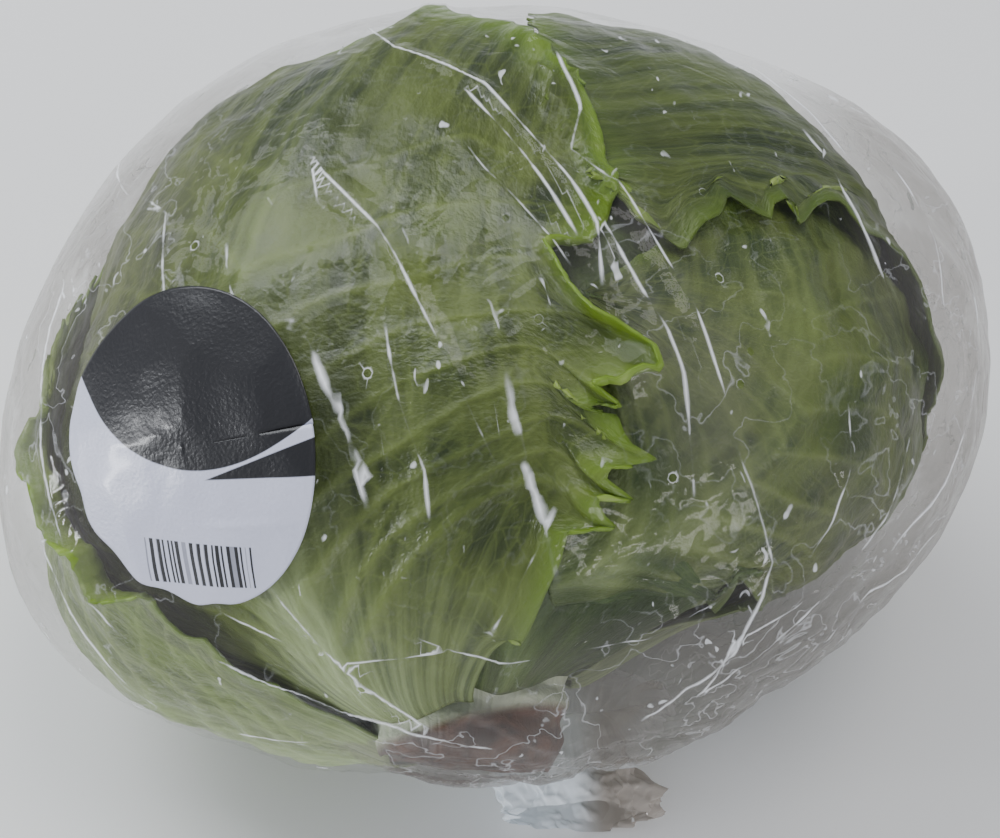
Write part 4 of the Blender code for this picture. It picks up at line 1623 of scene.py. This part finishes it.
    def build(self, pile: Pile) -> bpy.types.Object:
        """Lays the film over the head and gathers it.

        Args:
            pile: The head.

        Returns:
            The finished bag.
        """
        aims, polar, azimuth = self.aims()
        reach = self.draped(aims, pile)
        points = HEAD_CENTRE + aims * reach[..., None]
        skin = Pile()
        skin.add(points, wraps=True)
        raised, near, beside = self.creased(points, aims, skin.trees[0])
        head = pile.reach(aims)
        least = head + self.clearance * 0.6
        reach = np.maximum(reach + raised + self.pleats(polar, azimuth, points), least)
        reach[0] = reach[0].mean()
        down = np.maximum(-aims[..., 2], 1e-6)
        reach = np.minimum(reach, HEAD_CENTRE[2] / down)
        body = HEAD_CENTRE + aims * reach[..., None]
        pile.add(body, wraps=True)
        tail = self.tail_rings(body[-1])
        points = np.concatenate([body, tail])
        empty = np.zeros(tail.shape[:2])
        neck = eased((polar - self.neck_from) / (self.last_angle - self.neck_from)) * self.neck_gathered
        tail_gathered = self.neck_gathered * (1 + eased(np.linspace(0, 1, len(tail)) * 3))[:, None]
        filled = np.maximum(head, smoothed(head, self.head_smoothing, wraps=True))
        slack = eased((reach - filled - self.slack_from) / (self.slack_full - self.slack_from))
        shaded = eased((tail[..., 0] - self.shaded_from) / (self.shaded_full - self.shaded_from))
        beside = np.clip(beside, -self.crease_limit, self.crease_limit)
        shading = {
            "gathered": np.concatenate([neck, tail_gathered + empty]),
            "slack": np.concatenate([slack, empty]),
            "shaded": np.concatenate([np.zeros(slack.shape), shaded]),
            "glint_strength": np.concatenate([near, empty]),
            "crease_side": np.concatenate([beside, empty + self.crease_limit]),
        }
        middles = self.pierced(points, shading, skin.trees[0])
        points = np.concatenate([points, points[:, :1]], axis=1)
        made = laid_grid("film_skin", points)
        for name, values in shading.items():
            set_values(made, name, np.concatenate([values, values[:, :1]], axis=1))
        self.cut_out(made, middles)
        merge_points(made)
        made.data.materials.append(self.finish.material())
        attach(made, "root")
        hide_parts("film_bag")
        return made


@dataclass
class Label:
    """The oval sticker on the bag."""

    finish: LabelFinish
    back: PaperFinish
    half_width: float = 0.0258
    half_height: float = 0.0302
    tilt: float = math.radians(8)
    print_turn: float = math.radians(16)
    thickness: float = 0.00025
    gap: float = 0.0002
    rings: int = 60
    columns: int = 160
    draping: int = 24
    upward: tuple[float, float, float] = (0.0, 0.788, 0.616)
    loose_turn: float = math.radians(222)
    loose_depth: float = 0.022
    wrinkle_height: float = 0.0003
    wrinkle_width: float = 0.0006

    def wrinkle(self, right: np.ndarray, up: np.ndarray) -> np.ndarray:
        """How near each place is to the wrinkle across the label's right half, from 0 to 1."""
        away = (up + 0.016 + 0.2 * (right - 0.01)) / self.wrinkle_width
        return np.exp(-(away**2)) * np.clip(right / 0.006, 0, 1)

    def build(self, pile: Pile) -> bpy.types.Object:
        """Sticks the label on the film.

        Args:
            pile: The wrapped head.

        Returns:
            The finished label.
        """
        upright = unit(np.array(self.upward) - LABEL_AIM * (LABEL_AIM @ self.upward))
        across = np.cross(upright, LABEL_AIM)
        turn = np.linspace(0, 2 * math.pi, self.columns + 1)
        turn[-1] = 0.0
        share, turn = np.meshgrid(np.linspace(0, 1, self.rings), turn, indexing="ij")
        loose = eased((np.cos(turn - self.loose_turn) - 0.6) / 0.3)
        wavy = 1 - self.loose_depth * loose * (1 + np.sin(14 * turn))
        right = self.half_width * share * wavy * np.cos(turn)
        up = self.half_height * share * wavy * np.sin(turn)
        x = right * math.cos(self.tilt) - up * math.sin(self.tilt)
        y = right * math.sin(self.tilt) + up * math.cos(self.tilt)
        near = float(pile.reach(LABEL_AIM[None])[0])
        aims = unit(LABEL_AIM * near + x[..., None] * across + y[..., None] * upright)
        least = pile.reach(aims) + self.gap
        least[0] = least[0].mean()
        reach = least
        for _ in range(self.draping):
            reach = np.maximum(smoothed(reach, 1), least)
        wrinkled = self.wrinkle_height * self.wrinkle(right, up) * (1 - share**6)
        reach = reach + self.thickness + wrinkled
        points = HEAD_CENTRE + aims * reach[..., None]
        made = laid_grid("oval_label", points[:, ::-1])
        print_x = right * math.cos(self.print_turn) - up * math.sin(self.print_turn)
        print_y = right * math.sin(self.print_turn) + up * math.cos(self.print_turn)
        set_values(made, "print_x", (print_x / self.half_width)[:, ::-1])
        set_values(made, "print_y", (print_y / self.half_height)[:, ::-1])
        merge_points(made)
        made.data.materials.append(self.finish.material())
        made.data.materials.append(self.back.material())
        thicken(made, self.thickness, 1)
        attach(made, "root")
        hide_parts("label")
        return made


@dataclass(frozen=True)
class Lamp:
    """A soft box that looks at the head."""

    name: str
    place: tuple[float, float, float]
    size: tuple[float, float]  # width and height
    power: float  # in watts
    colour: Colour

    def build(self) -> None:
        """Adds the lamp."""
        data = bpy.data.lights.new(self.name, "AREA")
        data.shape = "RECTANGLE"
        data.size, data.size_y = self.size
        data.energy = self.power
        data.color = self.colour
        made = bpy.data.objects.new(self.name, data)
        made.location = self.place
        towards = Vector(HEAD_CENTRE) - Vector(self.place)
        made.rotation_euler = towards.to_track_quat("-Z", "Y").to_euler()
        bpy.context.scene.collection.objects.link(made)


LAMPS = (
    Lamp("window", (-0.50, 0.40, 0.85), (0.60, 0.70), 7.0, (0.94, 0.97, 1.0)),
    Lamp("overhead", (0.20, 0.05, 1.10), (0.50, 0.40), 3.5, (1.0, 0.98, 0.95)),
    Lamp("side_glow", (-0.90, -0.25, 0.14), (0.06, 0.50), 5.0, (0.95, 0.97, 1.0)),
    Lamp("front_fill", (0.55, -0.90, 0.14), (0.50, 0.16), 2.6, (1.0, 0.98, 0.96)),
)


@dataclass
class Studio:
    """A plain pale floor and soft light."""

    floor_size: float = 6.0
    floor_level: float = -0.0006
    floor_colour: Colour = (0.90, 0.90, 0.89)
    floor_shade: float = 0.97
    floor_roughness: float = 0.7
    world_colour: tuple[float, float, float, float] = (0.86, 0.90, 1.0, 1.0)
    world_strength: float = 0.56

    def floor(self) -> None:
        """Lays the floor."""
        bpy.ops.object.select_all(action="DESELECT")
        bpy.ops.mesh.primitive_plane_add(size=self.floor_size, location=(0.0, 0.0, self.floor_level))
        made = bpy.context.active_object
        made.name = "pale_floor"
        graph = Graph("pale_floor")
        clouds = graph.noise(3.0, 2.0)
        shade = tuple(self.floor_shade * part for part in self.floor_colour)
        colour = graph.mixed(clouds, self.floor_colour, shade)
        shader = graph.add("BsdfPrincipled", {"Base Color": colour, "Roughness": self.floor_roughness})
        made.data.materials.append(graph.finish(shader))

    def build(self) -> None:
        """Sets the floor, the sky and the lights."""
        self.floor()
        world = bpy.data.worlds.new("soft_room")
        world.use_nodes = True
        backdrop = world.node_tree.nodes["Background"]
        backdrop.inputs[0].default_value = self.world_colour
        backdrop.inputs[1].default_value = self.world_strength
        bpy.context.scene.world = world
        for lamp in LAMPS:
            lamp.build()


OUTER = LeafFinish("outer_leaf")
RIGHT_GREEN = LeafFinish("right_leaf", (0.080, 0.112, 0.011), (0.019, 0.042, 0.002), (0.18, 0.235, 0.060))
TOP_GREEN = LeafFinish("top_leaf", (0.056, 0.080, 0.006), (0.019, 0.033, 0.003), (0.145, 0.190, 0.042))
RIBBED = LeafFinish(
    "ribbed_leaf", (0.11, 0.16, 0.030), (0.06, 0.09, 0.015), (0.28, 0.36, 0.13), (0.40, 0.49, 0.25)
)
INNER = LeafFinish("inner_leaf", (0.036, 0.078, 0.005), (0.014, 0.034, 0.002), (0.13, 0.21, 0.04))
UNDERSIDE = LeafFinish("leaf_underside_green", (0.20, 0.29, 0.025), (0.13, 0.20, 0.015), (0.35, 0.44, 0.13))
HEART_GREEN = LeafFinish("heart_green", (0.15, 0.21, 0.04), (0.05, 0.08, 0.01), (0.35, 0.42, 0.17))

# Where the leaves are painted darker, as painted shade, or paler
FRONT_PAINTED_SHADE = (Patch((330, 130), 0.016, 0.5), Patch((300, 420), 0.016, 0.6), Patch((470, 470), 0.014, 0.5))
FRONT_PALE = (Patch((590, 480), 0.006, 0.8), Patch((620, 360), 0.007, 1.0), Patch((110, 250), 0.012, 0.6),
              Patch((300, 230), 0.012, 0.4), Patch((450, 230), 0.012, 0.4))
RIGHT_PAINTED_SHADE = (Patch((650, 470), 0.009, 0.9), Patch((650, 560), 0.007, 0.8), Patch((690, 420), 0.008, 0.6),
              Patch((850, 430), 0.007, 0.9), Patch((790, 595), 0.006, 0.6), Patch((930, 460), 0.008, 0.6),
              Patch((570, 590), 0.008, 0.9), Patch((710, 600), 0.007, 0.8), Patch((760, 610), 0.006, 0.8),
              Patch((640, 592), 0.009, 0.9))
RIGHT_PALE = (Patch((800, 330), 0.014, 0.7), Patch((720, 380), 0.010, 0.5), Patch((700, 520), 0.008, 0.6))
HEART_PAINTED_SHADE = (Patch((640, 640), 0.018, 1.0), Patch((720, 620), 0.016, 1.0), Patch((560, 620), 0.014, 0.9),
              Patch((800, 590), 0.014, 0.9))
TOP_PAINTED_SHADE = (Patch((730, 195), 0.005, 0.6), Patch((640, 130), 0.012, 0.5))


def leaves() -> list[Blade]:
    """The leaves, from the innermost to the outermost."""
    return [
        Blade("leaf_underside", ((18, 172), (85, 172), (152, -176)), (0.014, 0.062, 0.050),
              INNER, UNDERSIDE, rows=70, columns=60, rib_height=0.0012, seed=0.4, smoothing=25,
              dark=HEART_PAINTED_SHADE),
        Blade("leaf_back", ((18, -146), (90, -150), (164, -172)), (0.014, 0.063, 0.046),
              TOP_GREEN, UNDERSIDE, rows=80, columns=64, seed=1.3, smoothing=25, dark=HEART_PAINTED_SHADE),
        Blade("leaf_left_back", ((18, 128), (90, 126), (172, 150)), (0.014, 0.064, 0.056), OUTER, UNDERSIDE,
              rows=80, columns=64, seed=2.2, smoothing=25),
        Blade("leaf_inner_front", ((18, -12), (82, -14), (150, -30)), (0.014, 0.062, 0.048),
              INNER, UNDERSIDE, rows=110, columns=100, seed=3.1, smoothing=35, fleshy=0.0,
              rim_share=0.4, rib_share=0.3, dark=HEART_PAINTED_SHADE),
        Blade("leaf_right", ((44, -12), (74, -44), (108, -38)), (0.022, 0.062, 0.046), RIGHT_GREEN, INNER,
              sides=(0.8, 0.86), widest_at=0.32, rows=190, columns=150, teeth=8.0, tooth_depth=0.0015,
              rib_height=0.0022, blister=0.0020, seed=0.9, rim_share=0.5, fleshy=0.0, rib_share=0.25,
              guides=(Guide(Side.RIGHT, (0.0, 0.95), RIGHT_MARGIN, 0.9),),
              dark=RIGHT_PAINTED_SHADE, pale=RIGHT_PALE),
        Blade("leaf_top", ((24, -130), (104, -97), (111, -8)), (0.015, 0.060, 0.050), TOP_GREEN, UNDERSIDE,
              sides=(0.42, 1.0), widest_at=0.70, rows=170, columns=130, tip_round=0.08, teeth=8.0,
              tooth_depth=0.0015, rib_height=0.0020, lift=0.0012, seed=3.7, rim_share=0.5,
              guides=(Guide(Side.LEFT, (0.62, 1.0), TOP_MARGIN, 0.9),), dark=TOP_PAINTED_SHADE),
        Blade("leaf_front", ((18, 36), (72, 38), (150, 30)), (0.015, 0.068, 0.048), OUTER, UNDERSIDE,
              sides=(1.0, 0.95), widest_at=0.40, rows=230, columns=160, tip_round=0.10, teeth=10.0,
              tooth_depth=0.0015, rib_height=0.0026, rib_width=0.0110, lift=0.0012, seed=1.7, fleshy=0.5,
              guides=(Guide(Side.RIGHT, (0.12, 0.98), FRONT_MARGIN, 0.35),),
              curls=(Curl(Side.RIGHT, (0.50, 0.78)),), dark=FRONT_PAINTED_SHADE, pale=FRONT_PALE),
        Blade("leaf_left", ((11, 106), (52, 101), (104, 96)), (0.014, 0.056, 0.036), RIBBED, UNDERSIDE,
              sides=(1.0, 0.56), widest_at=0.55, rows=120, columns=100, teeth=7.0, tooth_depth=0.0045,
              rib_height=0.0042, rib_width=0.0130, seed=2.6,
              curls=(Curl(Side.RIGHT, (0.45, 0.95), 0.007, 2.4),)),
    ]


def main() -> None:
    """Builds the studio and every piece, and reports each."""
    logging.basicConfig(level=logging.INFO, format="%(message)s")
    Studio().build()
    PICTURE.place_camera()
    seen = node_tree("heart", *(blade.node for blade in leaves()))
    pile = Pile()
    made = [Heart(HEART_GREEN).build(pile, seen), Stem(StemFinish()).build()]
    for blade in leaves():
        made.append(blade.build(pile, seen))
    made.append(FilmBag(FilmFinish()).build(pile))
    made.append(Label(LabelFinish(), PaperFinish()).build(pile))
    for piece in made:
        LOG.info("%s: %d faces", piece.name, len(piece.data.polygons))


if __name__ == "__main__":
    main()
